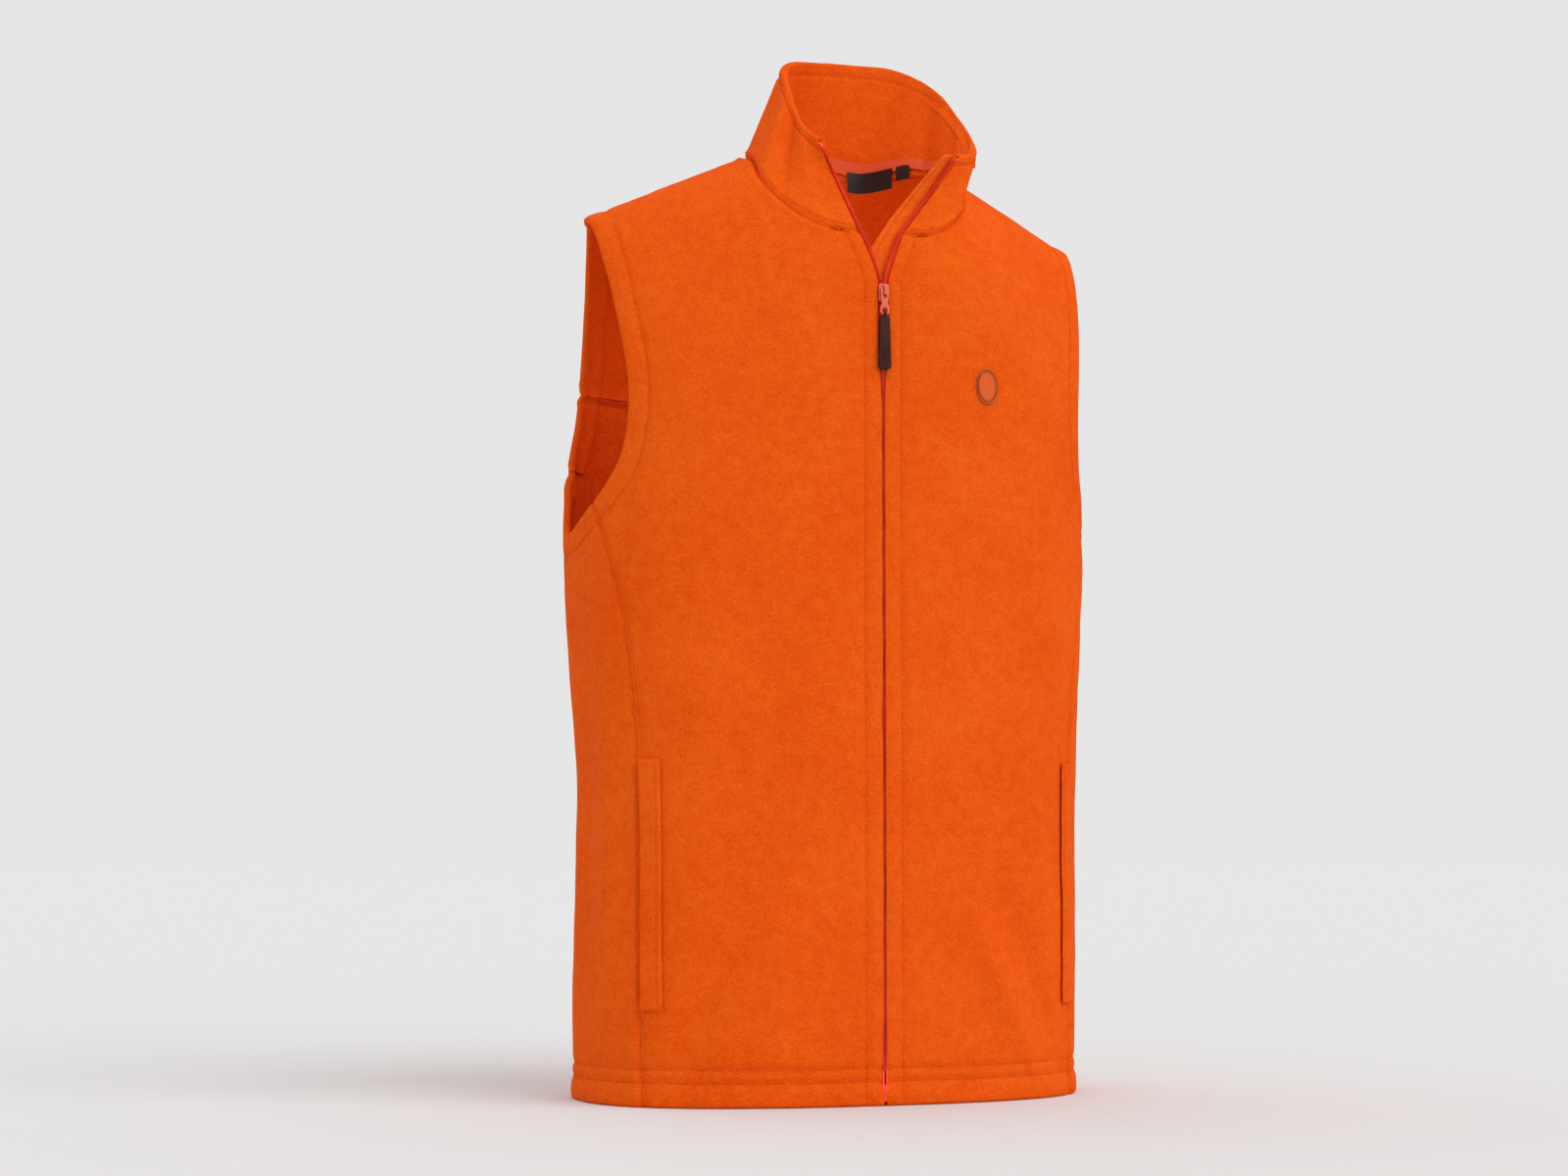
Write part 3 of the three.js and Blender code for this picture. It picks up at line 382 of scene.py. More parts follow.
class Seams:
    """The measured seam lines, cut from the pattern."""

    def __init__(self, pattern: Pattern) -> None:
        """Draws every line.

        Args:
            pattern: The seam lines' spots and sizes.
        """
        self.pattern = pattern
        rad = [(math.radians(a), l) for a, l in pattern.armhole_spots]
        hole = Line.through(rad)
        cut_front = hole.crossing(lambda s: s[0] - math.radians(75.5), 0.3, 0.6)
        cut_back = hole.crossing(lambda s: s[0] - math.radians(112), 0.5, 0.75)
        cut_yoke = hole.crossing(lambda s: BODY.points(s)[2] - pattern.yoke_height, 0.55, 0.95)
        self.hole = hole
        self.hole_front, self.hole_side = hole.part(cut_front, 0), hole.part(cut_front, cut_back)
        self.hole_back, self.hole_yoke = hole.part(cut_back, cut_yoke), hole.part(cut_yoke, 1)
        self.princess = self.up_to(hole(cut_front), pattern.princess_spots)
        self.back_seam = self.up_to(hole(cut_back), pattern.back_seam_spots)
        neck_x = BODY.neck_x + 10
        self.front_neck = Line.through([
            pattern.zip_edge(pattern.neck_seam), *[BODY.at_x(x, l) for x, l in pattern.front_neck_spots],
            BODY.at_x(neck_x, 1)])
        half = [BODY.at_x(neck_x, 1, True), *[BODY.at_x(x, l, True) for x, l in pattern.back_neck_spots]]
        other = [(2 * math.pi - a, l) for a, l in reversed(half[:-1])]
        self.back_neck = Line.through([*half, *other])
        self.shoulder = Line.through([BODY.at_x(neck_x, 1), tuple(hole(0.0))])
        end = float(hole(cut_yoke)[0])
        self.yoke = Line([BODY.around_at(lerp(end, 2 * math.pi - end, t), pattern.yoke_height)
                          for t in np.linspace(0, 1, 60)])
        self.zip_line = Line([pattern.zip_edge(z) for z in np.linspace(0, pattern.neck_seam, 160)])
        self.underarm_z = float(BODY.points(hole(cut_front))[2])
        self.neck_mm = 2 * self.front_neck.mm + self.back_neck.mm
        self.front_share = self.front_neck.mm / self.neck_mm

    @staticmethod
    def up_to(top: Array, spots: Sequence[tuple[float, float]]) -> Line:
        """A side seam from the hem up to the armhole."""
        return Line.through([tuple(top), *[(math.radians(a), l) for a, l in spots]][::-1])

    def hem(self, start: float, end: float) -> Line:
        """The hem between two angles."""
        return Line(np.stack([np.linspace(start, end, 80), np.zeros(80)], -1))

    def on_neck(self, measure: Callable[[Array], Array], share: float) -> Array:
        """A measure on the neck seam, from the right zip edge (0) round the back to the left one (1).

        Args:
            measure: What to take at each spot, such as its place.
            share: Share round the neck.

        Returns:
            The measure there, on the wearer's own side.
        """
        if share < self.front_share:
            return measure(self.front_neck(share / self.front_share)) * [-1, 1, 1]
        if share > 1 - self.front_share:
            return measure(self.front_neck((1 - share) / self.front_share))
        return measure(self.back_neck((share - self.front_share) / (1 - 2 * self.front_share))) * [-1, 1, 1]


SEAMS = Seams(Pattern())


# ---- Finishes -----------------------------------------------------------------------------------------


def linear(hex_colour: str) -> tuple[float, float, float, float]:
    """An sRGB hex colour as linear light."""
    parts = [int(hex_colour[i : i + 2], 16) / 255 for i in (1, 3, 5)]
    return (*[c / 12.92 if c <= 0.04045 else ((c + 0.055) / 1.055) ** 2.4 for c in parts], 1.0)


def node(tree: bpy.types.NodeTree, kind: str, links: dict[str | int, object] | None = None,
         **settings: object) -> bpy.types.Node:
    """Adds a node.

    Args:
        tree: The material's nodes.
        kind: Blender's name for the node type.
        links: Sockets to link from, or values to set, by input name or number.
        settings: Attributes of the node.

    Returns:
        The new node.
    """
    new = tree.nodes.new(kind)
    for key, value in settings.items():
        setattr(new, key, value)
    for key, value in (links or {}).items():
        if isinstance(value, bpy.types.NodeSocket):
            tree.links.new(value, new.inputs[key])
        else:
            new.inputs[key].default_value = value
    return new


@dataclass(frozen=True)
class Finish:
    """A surface finish, with the numbers that are the same all over it."""

    name: str
    colour: str
    deep: str
    roughness: float
    sheen: float = 0.0
    metallic: float = 0.0
    coat: float = 0.0
    specular: float = 0.5
    spread: tuple[float, float] = (0.38, 0.62)

    def start(self) -> tuple[bpy.types.Material, bpy.types.NodeTree, bpy.types.Node, bpy.types.NodeSocket]:
        """A material with its shader and object coordinates in place.

        Returns:
            The material, its nodes, its shader and the object coordinates.
        """
        material = bpy.data.materials.new(self.name)
        material.use_nodes = True
        tree = material.node_tree
        shader = tree.nodes["Principled BSDF"]
        shader.inputs["Roughness"].default_value = self.roughness
        shader.inputs["Metallic"].default_value = self.metallic
        shader.inputs["Sheen Weight"].default_value = self.sheen
        shader.inputs["Sheen Roughness"].default_value = 0.55
        shader.inputs["Sheen Tint"].default_value = linear(self.colour)
        shader.inputs["Coat Weight"].default_value = self.coat
        shader.inputs["Specular IOR Level"].default_value = self.specular
        return material, tree, shader, node(tree, "ShaderNodeTexCoord").outputs["Object"]

    def two_tone(self, tree: bpy.types.NodeTree, factor: bpy.types.NodeSocket) -> bpy.types.NodeSocket:
        """The finish's two colours mixed by a factor.

        Args:
            tree: The material's nodes.
            factor: What picks between the two colours.

        Returns:
            The mixed colour.
        """
        ramp = node(tree, "ShaderNodeValToRGB", {"Fac": factor})
        ramp.color_ramp.elements[0].color = linear(self.deep)
        ramp.color_ramp.elements[1].color = linear(self.colour)
        ramp.color_ramp.elements[0].position = self.spread[0]
        ramp.color_ramp.elements[1].position = self.spread[1]
        return ramp.outputs["Color"]

    def build(self) -> bpy.types.Material:
        """The plain version: faint cloudiness in colour and a fine grain.

        Returns:
            The material.
        """
        material, tree, shader, at = self.start()
        cloud = node(tree, "ShaderNodeTexNoise", {"Vector": at, "Scale": 60.0, "Detail": 3.0})
        tree.links.new(self.two_tone(tree, cloud.outputs["Fac"]), shader.inputs["Base Color"])
        grain = node(tree, "ShaderNodeTexNoise", {"Vector": at, "Scale": 1800.0})
        lift = node(tree, "ShaderNodeBump",
                    {"Height": grain.outputs["Fac"], "Strength": 0.1, "Distance": 0.0002})
        tree.links.new(lift.outputs["Normal"], shader.inputs["Normal"])
        return material


@dataclass(frozen=True)
class BrushedFleece(Finish):
    """Brushed polyester fleece. The short pile scatters light softly, glows at the edges, and lies in
    small tufts about 1.6 mm across with cloudier patches where it has been stroked. Its colour is darker
    where the tufts and patches are low: random tone of the pile, with painted shade in the pits."""

    tuft_mm: float = 1.6
    patch_mm: float = 9.0

    def build(self) -> bpy.types.Material:
        """Tufts in relief and colour over soft patches. The colour is darker where the relief is low: random
        tone, with painted shade in the pits.

        Returns:
            The material.
        """
        material, tree, shader, at = self.start()
        tufts = node(tree, "ShaderNodeTexNoise",
                     {"Vector": at, "Scale": 1000 / self.tuft_mm, "Detail": 4.0, "Roughness": 0.6,
                      "Distortion": 0.6})
        patches = node(tree, "ShaderNodeTexNoise",
                       {"Vector": at, "Scale": 1000 / self.patch_mm, "Detail": 3.0})
        wide = node(tree, "ShaderNodeTexNoise", {"Vector": at, "Scale": 12.0, "Detail": 2.0})
        fine = node(tree, "ShaderNodeMix", {0: 0.3, 2: tufts.outputs["Fac"], 3: patches.outputs["Fac"]})
        # The colour follows the same noises as the relief, so the low pits come out darker: painted shade in
        # the pits over the random tone of the pile.
        tone_and_pit_shade = node(tree, "ShaderNodeMix", {0: 0.2, 2: fine.outputs[0], 3: wide.outputs["Fac"]})
        tree.links.new(self.two_tone(tree, tone_and_pit_shade.outputs[0]), shader.inputs["Base Color"])
        low = node(tree, "ShaderNodeBump",
                   {"Height": patches.outputs["Fac"], "Strength": 0.6, "Distance": 0.0022})
        pile = node(tree, "ShaderNodeBump", {"Height": tufts.outputs["Fac"], "Strength": 1.0,
                                             "Distance": 0.0014, "Normal": low.outputs["Normal"]})
        tree.links.new(pile.outputs["Normal"], shader.inputs["Normal"])
        return material


@dataclass(frozen=True)
class WovenTape(Finish):
    """Narrow woven or knitted polyester, such as zip tape, twill or satin: crosswise ribs, which are drawn
    about twice as coarse as the real ones so that they show."""

    rib_mm: float = 0.9
    slant: float = 0.0
    waves_per_rib: float = 1000 * 2 * math.pi / 20

    def build(self) -> bpy.types.Material:
        """Ribs in relief and colour.

        Returns:
            The material.
        """
        material, tree, shader, at = self.start()
        turned = node(tree, "ShaderNodeMapping", {"Vector": at, "Rotation": (0.0, self.slant, 0.0)})
        ribs = node(tree, "ShaderNodeTexWave",
                    {"Vector": turned.outputs["Vector"], "Scale": self.waves_per_rib / self.rib_mm,
                     "Distortion": 0.4, "Detail": 1.0}, bands_direction="Z")
        tree.links.new(self.two_tone(tree, ribs.outputs["Fac"]), shader.inputs["Base Color"])
        lift = node(tree, "ShaderNodeBump",
                    {"Height": ribs.outputs["Fac"], "Strength": 0.5, "Distance": 0.0002})
        tree.links.new(lift.outputs["Normal"], shader.inputs["Normal"])
        return material


FLEECE = BrushedFleece("brushed polyester fleece", "#fc6918", "#ee5107", 0.95, sheen=0.03, specular=0.05)
FLEECE_BACK = BrushedFleece("fleece, inner side", "#fc7020", "#ee580c", 0.95, sheen=0.03, specular=0.05,
                            tuft_mm=1.9)
POCKET_KNIT = WovenTape("polyester pocket knit", "#e65a1c", "#cf4612", 0.85, rib_mm=1.6)
SEWING_THREAD = Finish("spun polyester thread", "#ea4f0c", "#d44006", 0.7, specular=0.1)
ZIP_TAPE = WovenTape("woven zip tape", "#f8481a", "#e2360e", 0.8, specular=0.2, rib_mm=1.4)
ZIP_NYLON = Finish("dyed nylon filament", "#ff4c1e", "#ea3610", 0.45, specular=0.3, coat=0.05)
ENAMEL = Finish("stoved enamel on zinc", "#ea6a48", "#d95232", 0.28, coat=0.5)
MOULDED = Finish("moulded soft plastic", "#3c1309", "#2e0f08", 0.6, specular=0.2)
TWILL = WovenTape("polyester twill tape", "#f0683c", "#e0522a", 0.8, specular=0.2, rib_mm=1.6, slant=0.7)
SATIN = WovenTape("woven satin", "#16110f", "#0d0a09", 0.5, rib_mm=1.0)
RAYON = WovenTape("rayon satin stitch", "#ec6418", "#d24e0c", 0.5, specular=0.25, rib_mm=1.2, slant=0.8)
CORD = Finish("rayon cord", "#8a4a20", "#6e3714", 0.5)
PALE_FLOOR = Finish("matt painted floor", "#dddddd", "#dcdcdc", 0.95, specular=0.0)


class Wardrobe:
    """Builds each finish once."""

    def __init__(self) -> None:
        """Starts empty."""
        self.made: dict[str, bpy.types.Material] = {}

    def __call__(self, finish: Finish) -> bpy.types.Material:
        """The material for a finish."""
        if finish.name not in self.made:
            self.made[finish.name] = finish.build()
        return self.made[finish.name]


FINISHES = Wardrobe()


# ---- Making pieces ------------------------------------------------------------------------------------


@dataclass
class Place:
    """Where the garment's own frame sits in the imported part's."""

    shift_y: float = 0.0

    def metres(self, points: Array) -> Array:
        """Points in mm on the garment as metres in the part's frame."""
        return (points + [0.0, self.shift_y, 0.0]) * MM


PLACE = Place()


def shown(name: str, mesh: bpy.types.Mesh, finish: Finish, body: str,
          replaces: Sequence[str] = ()) -> bpy.types.Object:
    """Puts a finished mesh into the scene.

    Args:
        name: The piece's name.
        mesh: Its mesh, in metres in the part's frame.
        finish: Its finish.
        body: The moving body that it rides on.
        replaces: The part's nodes that it stands for.

    Returns:
        The piece.
    """
    piece = bpy.data.objects.new(name, mesh)
    bpy.context.scene.collection.objects.link(piece)
    mesh.materials.clear()
    mesh.materials.append(FINISHES(finish))
    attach(piece, body)
    if replaces:
        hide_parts(*replaces)
    LOG.info("%s: %d faces", name, len(mesh.polygons))
    return piece


def cloth(name: str, points: Array, thickness: float, keep: Array | None = None,
          lips: Array | None = None) -> bpy.types.Mesh:
    """A closed sheet of cloth from a grid of outer points.

    Args:
        name: The mesh's name.
        points: Rows by columns by 3, in mm on the garment, columns running to the wearer's left at the front.
        thickness: The cloth's thickness in mm, laid inwards.
        keep: Which cells exist, rows-1 by columns-1.
        lips: Share of the full thickness at each point.

    Returns:
        The mesh, in metres.
    """
    rows, columns = points.shape[:2]
    bm = bmesh.new()
    bmesh.ops.create_grid(bm, x_segments=columns - 1, y_segments=rows - 1, size=0.5)
    bm.verts.ensure_lookup_table()
    placed = PLACE.metres(points)
    at = {v.index: (round((v.co.y + 0.5) * (rows - 1)), round((v.co.x + 0.5) * (columns - 1)))
          for v in bm.verts}
    if keep is not None:
        gone = [f for f in bm.faces
                if not keep[min(at[v.index][0] for v in f.verts), min(at[v.index][1] for v in f.verts)]]
    share = bm.verts.layers.deform.verify() if lips is not None else None
    for v in bm.verts:
        v.co = placed[at[v.index]]
        if share is not None:
            v[share][0] = float(lips[at[v.index]])
    if keep is not None:
        bmesh.ops.delete(bm, geom=gone, context="FACES")
    mesh = bpy.data.meshes.new(name)
    bm.to_mesh(mesh)
    bm.free()
    holder = bpy.data.objects.new(name + "_cut", mesh)
    bpy.context.scene.collection.objects.link(holder)
    solid = holder.modifiers.new("cloth", "SOLIDIFY")
    solid.thickness, solid.offset = thickness * MM, -1.0
    if lips is not None:
        holder.vertex_groups.new(name="lips")
        solid.vertex_group, solid.thickness_vertex_group = "lips", 0.0
    bpy.context.view_layer.update()
    done = bpy.data.meshes.new_from_object(holder.evaluated_get(bpy.context.evaluated_depsgraph_get()))
    bpy.data.objects.remove(holder)
    bpy.data.meshes.remove(mesh)
    done.name = name
    done.polygons.foreach_set("use_smooth", [True] * len(done.polygons))
    done.set_sharp_from_angle(angle=math.radians(55))
    return done


def repeated(name: str, template: bpy.types.Mesh, frames: Array) -> bpy.types.Mesh:
    """Many copies of one small shape.

    Args:
        name: The mesh's name.
        template: The shape, in metres about its own origin.
        frames: One 4 by 4 matrix for each copy.

    Returns:
        One mesh with every copy.
    """
    count = len(template.vertices)
    base = np.empty(count * 3)
    template.vertices.foreach_get("co", base)
    base = np.c_[base.reshape(-1, 3), np.ones(count)]
    placed = np.einsum("nij,vj->nvi", frames, base)[..., :3].reshape(-1, 3)
    bm = bmesh.new()
    for _ in frames:
        bm.from_mesh(template)
    mesh = bpy.data.meshes.new(name)
    bm.to_mesh(mesh)
    bm.free()
    mesh.vertices.foreach_set("co", placed.ravel())
    mesh.polygons.foreach_set("use_smooth", [True] * len(mesh.polygons))
    return mesh


def frames_along(points: Array, outward: Array) -> Array:
    """Frames in metres at points in mm, with X along the line and Z outward.

    Args:
        points: Points of the line in mm.
        outward: Unit vectors away from the cloth.

    Returns:
        One 4 by 4 matrix for each point.
    """
    ahead = unit(np.gradient(points, axis=0))
    sideways = unit(np.cross(outward, ahead))
    out = np.zeros((len(points), 4, 4))
    out[:, :3, 0], out[:, :3, 1], out[:, :3, 2] = ahead, sideways, unit(np.cross(ahead, sideways))
    out[:, :3, 3], out[:, 3, 3] = PLACE.metres(points), 1
    return out


@dataclass(frozen=True)
class Stitching:
    """Lockstitch: short lengths of thread that dip into the cloth at both ends."""

    pitch: float = 3.0
    length: float = 2.5
    radius: float = 0.24

    def template(self) -> bpy.types.Mesh:
        """One stitch along X.

        Returns:
            The stitch's mesh, in metres about its own origin.
        """
        bm = bmesh.new()
        bmesh.ops.create_uvsphere(bm, u_segments=5, v_segments=4, radius=1.0,
                                  matrix=Matrix.Rotation(math.pi / 2, 4, "Y"))
        bmesh.ops.scale(bm, vec=(self.length / 2 * MM, self.radius * MM, self.radius * MM), verts=bm.verts)
        mesh = bpy.data.meshes.new("stitch")
        bm.to_mesh(mesh)
        bm.free()
        return mesh

    def sew(self, name: str, line: Array, outward: Array, finish: Finish | None = None,
            slot: str = "fleece") -> None:
        """Lays stitches along a line of points on the cloth.

        Args:
            name: The piece's name.
            line: Points in mm on the garment.
            outward: Unit vectors away from the cloth.
            finish: The thread, or sewing thread if none is given.
            slot: Not used.
        """
        run = np.r_[0, np.cumsum(np.linalg.norm(np.diff(line, axis=0), axis=1))]
        at = np.arange(self.pitch, run[-1] - self.pitch / 2, self.pitch)
        if len(at) < 2:
            return
        points = np.stack([np.interp(at, run, line[:, k]) for k in range(3)], -1)
        facing = unit(np.stack([np.interp(at, run, outward[:, k]) for k in range(3)], -1))
        frames = frames_along(points + facing * 0.1, facing)
        shown(name, repeated(name, self.template(), frames), finish or SEWING_THREAD, "vest")


STITCHING = Stitching()


@dataclass(frozen=True)
class Fold:
    """A soft ridge (or, with a negative height, hollow) in the cloth between two places."""

    start: tuple[float, float, float]
    end: tuple[float, float, float]
    width: float
    height: float
    strength: float = 1.5

    def lift(self, points: Array) -> Array:
        """How far the fold moves each point out.

        Args:
            points: Points in mm.

        Returns:
            Millimetres outwards at each point.
        """
        a, b = np.array(self.start), np.array(self.end)
        along = np.clip(((points - a) @ (b - a)) / ((b - a) @ (b - a)), 0, 1)
        distance = np.linalg.norm(points - (a + along[..., None] * (b - a)), axis=-1)
        fading = np.sin(math.pi * np.clip(along, 0.04, 0.96)) ** 0.7
        return self.strength * self.height * bump(distance, self.width) * fading


FOLDS = (
    Fold((62, -121, 150), (132, -104, 4), 13, 3.6), Fold((88, -117, 172), (155, -90, 20), 12, -2.6),
    Fold((30, -122, 250), (96, -116, 96), 20, -1.6), Fold((-70, -120, 300), (-120, -108, 120), 24, 1.6),
    Fold((-184, -50, 400), (-180, -40, 40), 9, 2.6), Fold((-191, -22, 380), (-187, -14, 60), 9, -2.4),
    Fold((-194, 6, 390), (-191, 10, 20), 11, 2.6), Fold((184, -50, 400), (180, -40, 60), 10, 2.4),
    Fold((192, -14, 400), (189, -10, 40), 12, -2.4), Fold((-120, -108, 560), (-178, -66, 440), 16, 1.8),
    Fold((120, -108, 560), (178, -66, 440), 16, 1.6), Fold((-40, 96, 520), (-70, 94, 300), 26, 2.4),
    Fold((60, 95, 540), (90, 92, 260), 26, 2.2), Fold((-130, 80, 440), (-100, 88, 250), 22, -2.2),
    Fold((130, 80, 420), (110, 86, 180), 22, 2.4), Fold((0, 95, 260), (30, 94, 40), 24, -2.0),
)


@dataclass
class Border:
    """A panel border: its line, its finish and how far in its stitching is."""

    line: Array
    edge: Edge
    stitched: tuple[float, ...] = ()


def loose_lift(points: Array) -> Array:
    """How far lumps and folds move the cloth out, away from its borders.

    Args:
        points: Points on the body surface.

    Returns:
        Millimetres outwards at each point.
    """
    lift = 1.1 * lumps(points, 62, 3.0) + 0.45 * lumps(points, 23, 9.0)
    for fold in FOLDS:
        lift = lift + fold.lift(points)
    return lift


def relief(points: Array, borders: Sequence[Border]) -> Array:
    """How far the cloth stands out from the body surface.

    Args:
        points: Points on the surface.
        borders: The panel's borders.

    Returns:
        Millimetres outwards at each point.
    """
    lift = loose_lift(points)
    pucker = lumps(points, 7.5, 11.0)
    calm = np.ones(points.shape[:-1])
    stitches = np.zeros(points.shape[:-1])
    for border in borders:
        distance = nearest(points, border.line)
        if border.edge is Edge.SEAM:
            stitches -= 2.0 * bump(distance, 2.3)
            stitches += 0.95 * bump(distance - 5.0, 3.2) + 0.4 * pucker * bump(distance, 10)
            calm = np.minimum(calm, 0.35 + 0.65 * ease(distance / 30))
        elif border.edge is Edge.TURNED_IN:
            stitches += 0.7 * bump(distance - 7, 7)
            calm = np.minimum(calm, 0.5 + 0.5 * ease(distance / 30))
        for at in border.stitched:
            stitches -= (1.35 + 0.45 * pucker) * bump(distance - at, 1.8)
            stitches += 0.45 * pucker * bump(distance - at, 9)
    return lift * calm + stitches


@dataclass
class Panel:
    """A cut of fleece between four lines on the body.

    bottom and top are functions of the share across, start and end of the share up. turned lists which
    rows of the start and end borders are turned in.
    """

    name: str
    bottom: SpotsOf
    top: SpotsOf
    start: SpotsOf
    end: SpotsOf
    rows: Array
    near_start: Sequence[float]
    near_end: Sequence[float]
    middle: int
    borders: list[Border]
    turned_start: Callable[[Array], Array] | None = None
    turned_end: Callable[[Array], Array] | None = None
    hem: bool = True
    turned_top: bool = False
    lip_start: bool = False
    fleece: float = 2.6
    fold_radius: float = 2.65
    band: float = 18.2
    turn_steps: int = 5

    def grid(self) -> tuple[Array, Array]:
        """Outer points and normals of the flat part of the panel.

        Returns:
            Points and normals, rows by columns by 3.
        """
        shares = np.linspace(0, 1, 61)
        out = []
        corner = [self.bottom(np.array(0.0)), self.bottom(np.array(1.0)), self.top(np.array(0.0)),
                  self.top(np.array(1.0))]
        low, high = self.bottom(shares), self.top(shares)
        u = shares[:, None]
        tuck_start = self.turned_start(self.rows) if self.turned_start else 0 * self.rows
        tuck_end = self.turned_end(self.rows) if self.turned_end else 0 * self.rows
        for v, a, b in zip(self.rows, tuck_start, tuck_end):
            s, e = self.start(np.array(v)), self.end(np.array(v))
            spots = ((1 - v) * low + v * high + (1 - u) * s + u * e
                     - ((1 - u) * (1 - v) * corner[0] + u * (1 - v) * corner[1]
                        + (1 - u) * v * corner[2] + u * v * corner[3]))
            row = Line(spots)
            first, last = 0.05 + self.fold_radius * a, row.mm - 0.05 - self.fold_radius * b
            near_start = first + np.array(self.near_start)
            near_end = last - np.array(self.near_end)[::-1]
            inner = np.linspace(near_start[-1], near_end[0], self.middle + 2)[1:-1]
            out.append(row(np.r_[near_start, inner, near_end] / row.mm))
        spots = np.array(out)
        return BODY.points(spots), BODY.normals(spots)

    def turn(self, points: Array, normals: Array, at: Sequence[int], outward: Array) -> tuple[Array, Array]:
        """The rolled edge and the turned-in layer beyond a border.

        Args:
            points: Lines by positions by 3, with the border at position 0.
            normals: The same for normals.
            at: Positions that the inner layer repeats, from the border inwards.
            outward: Unit vectors past the border, one for each line.

        Returns:
            The added points and normals, from the border onwards.
        """
        radius = self.fold_radius
        edge, normal = points[:, 0], normals[:, 0]
        added, facing = [], []
        for angle in np.linspace(0, math.pi, self.turn_steps + 2)[1:-1]:
            added.append(edge + outward * radius * math.sin(angle) - normal * radius * (1 - math.cos(angle)))
            facing.append(normal * math.cos(angle) + outward * math.sin(angle))
        for i in at:
            added.append(points[:, i] - normals[:, i] * 2 * radius)
            facing.append(-normals[:, i])
        return np.stack(added, 1), np.stack(facing, 1)

    def mesh(self) -> tuple[bpy.types.Mesh, Array, Array]:
        """The panel's mesh, with the points and normals of its flat part.

        Returns:
            The mesh, and the points and normals of the flat part.
        """
        base, normals = self.grid()
        points = base + normals * relief(base, self.borders)[..., None]
        if self.lip_start:
            points, thin = self.shape_lip(points, normals)
        else:
            thin = np.ones(points.shape[:2])
        full, facing = points, normals
        keep = np.ones((points.shape[0] - 1, points.shape[1] - 1), bool)
        tucks = [(self.turned_end, False), (self.turned_start, True)]
        for shares, is_start in tucks:
            if shares is None:
                continue
            flip = slice(None, None, 1 if is_start else -1)
            near = np.array(self.near_start if is_start else self.near_end)
            at = [i for i, d in enumerate(near) if d <= self.band and i != 1]
            line = points[:, flip]
            outward = unit(base[:, flip][:, 0] - base[:, flip][:, 4])
            added, turned = self.turn(line, normals[:, flip], at, outward)
            exists = (shares(self.rows) > 0.99)[:-1] | (shares(self.rows) > 0.99)[1:]
            cells = np.repeat(exists[:, None], added.shape[1], 1)
            width = added.shape[1]
            if is_start:
                full = np.concatenate([added[:, ::-1], full], 1)
                facing = np.concatenate([turned[:, ::-1], facing], 1)
                keep = np.concatenate([cells, keep], 1)
                thin = np.pad(thin, ((0, 0), (width, 0)), constant_values=1)
            else:
                full = np.concatenate([full, added], 1)
                facing = np.concatenate([facing, turned], 1)
                keep = np.concatenate([keep, cells], 1)
                thin = np.pad(thin, ((0, 0), (0, width)), constant_values=1)
        for wanted, flip in ((self.hem, slice(None)), (self.turned_top, slice(None, None, -1))):
            if not wanted:
                continue
            line, line_facing = full[flip].transpose(1, 0, 2), facing[flip].transpose(1, 0, 2)
            run = np.r_[0, np.cumsum(np.linalg.norm(np.diff(line[len(line) // 2], axis=0), axis=1))]
            at = [i for i, d in enumerate(run) if d <= self.band and i != 1]
            outward = unit(line[:, 0] - line[:, 3])
            added, turned = self.turn(line, line_facing, at, outward)
            added, turned = added.transpose(1, 0, 2), turned.transpose(1, 0, 2)
            cells = np.repeat(keep[flip][:1], added.shape[0], 0)
            thin_row = np.repeat(thin[flip][:1], added.shape[0], 0)
            full, facing = full[flip], facing[flip]
            full = np.concatenate([added[::-1], full])[flip]
            facing = np.concatenate([turned[::-1], facing])[flip]
            keep = np.concatenate([cells, keep[flip]])[flip]
            thin = np.concatenate([thin_row, thin[flip]])[flip]
        full[..., 2] = np.maximum(full[..., 2], 0.0)
        lips = thin if self.lip_start else None
        return cloth(self.name, full, self.fleece, keep, lips), points, normals

    def shape_lip(self, points: Array, normals: Array) -> tuple[Array, Array]:
        """Draws the zip edge in over the coil, where the slider has closed it.

        Args:
            points: Rows by columns by 3, with the zip edge at column 0.
            normals: The same for normals.

        Returns:
            The moved points, and the share of the full thickness at each.
        """
        z = points[:, :1, 2]
        closing = (1 - ease((z - 500) / 60)) * 3.1
        far = np.array([*self.near_start, *[99] * (points.shape[1] - len(self.near_start))])
        reach, sunk = np.clip(1 - far / 6, 0, 1), bump(far, 1.3)
        moved = points.copy()
        moved[..., 0] -= closing * reach**0.7
        moved -= normals * (0.55 * sunk)[None, :, None]
        thin = 1 - 0.8 * reach[None] ** 1.5 * ease(closing / 3.1)
        return moved, np.broadcast_to(thin, points.shape[:2])


def crossing_line(points: Array, normals: Array, distance: Array, at: float) -> tuple[Array, Array]:
    """Where a distance from a border passes a value, one place for each line of the grid.

    Args:
        points: Lines by positions by 3, positions running away from the border.
        normals: The same for normals.
        distance: Lines by positions.
        at: The distance wanted.

    Returns:
        The places and their normals.
    """
    places, facing = [], []
    for line, normal, far in zip(points, normals, distance):
        past = np.nonzero(far >= at)[0]
        if len(past) and past[0] > 0:
            i = past[0]
            t = (at - far[i - 1]) / max(far[i] - far[i - 1], 1e-6)
            places.append(lerp(line[i - 1], line[i], t))
            facing.append(lerp(normal[i - 1], normal[i], t))
    return np.array(places), np.array(facing)


# ---- The shell of the vest ----------------------------------------------------------------------------


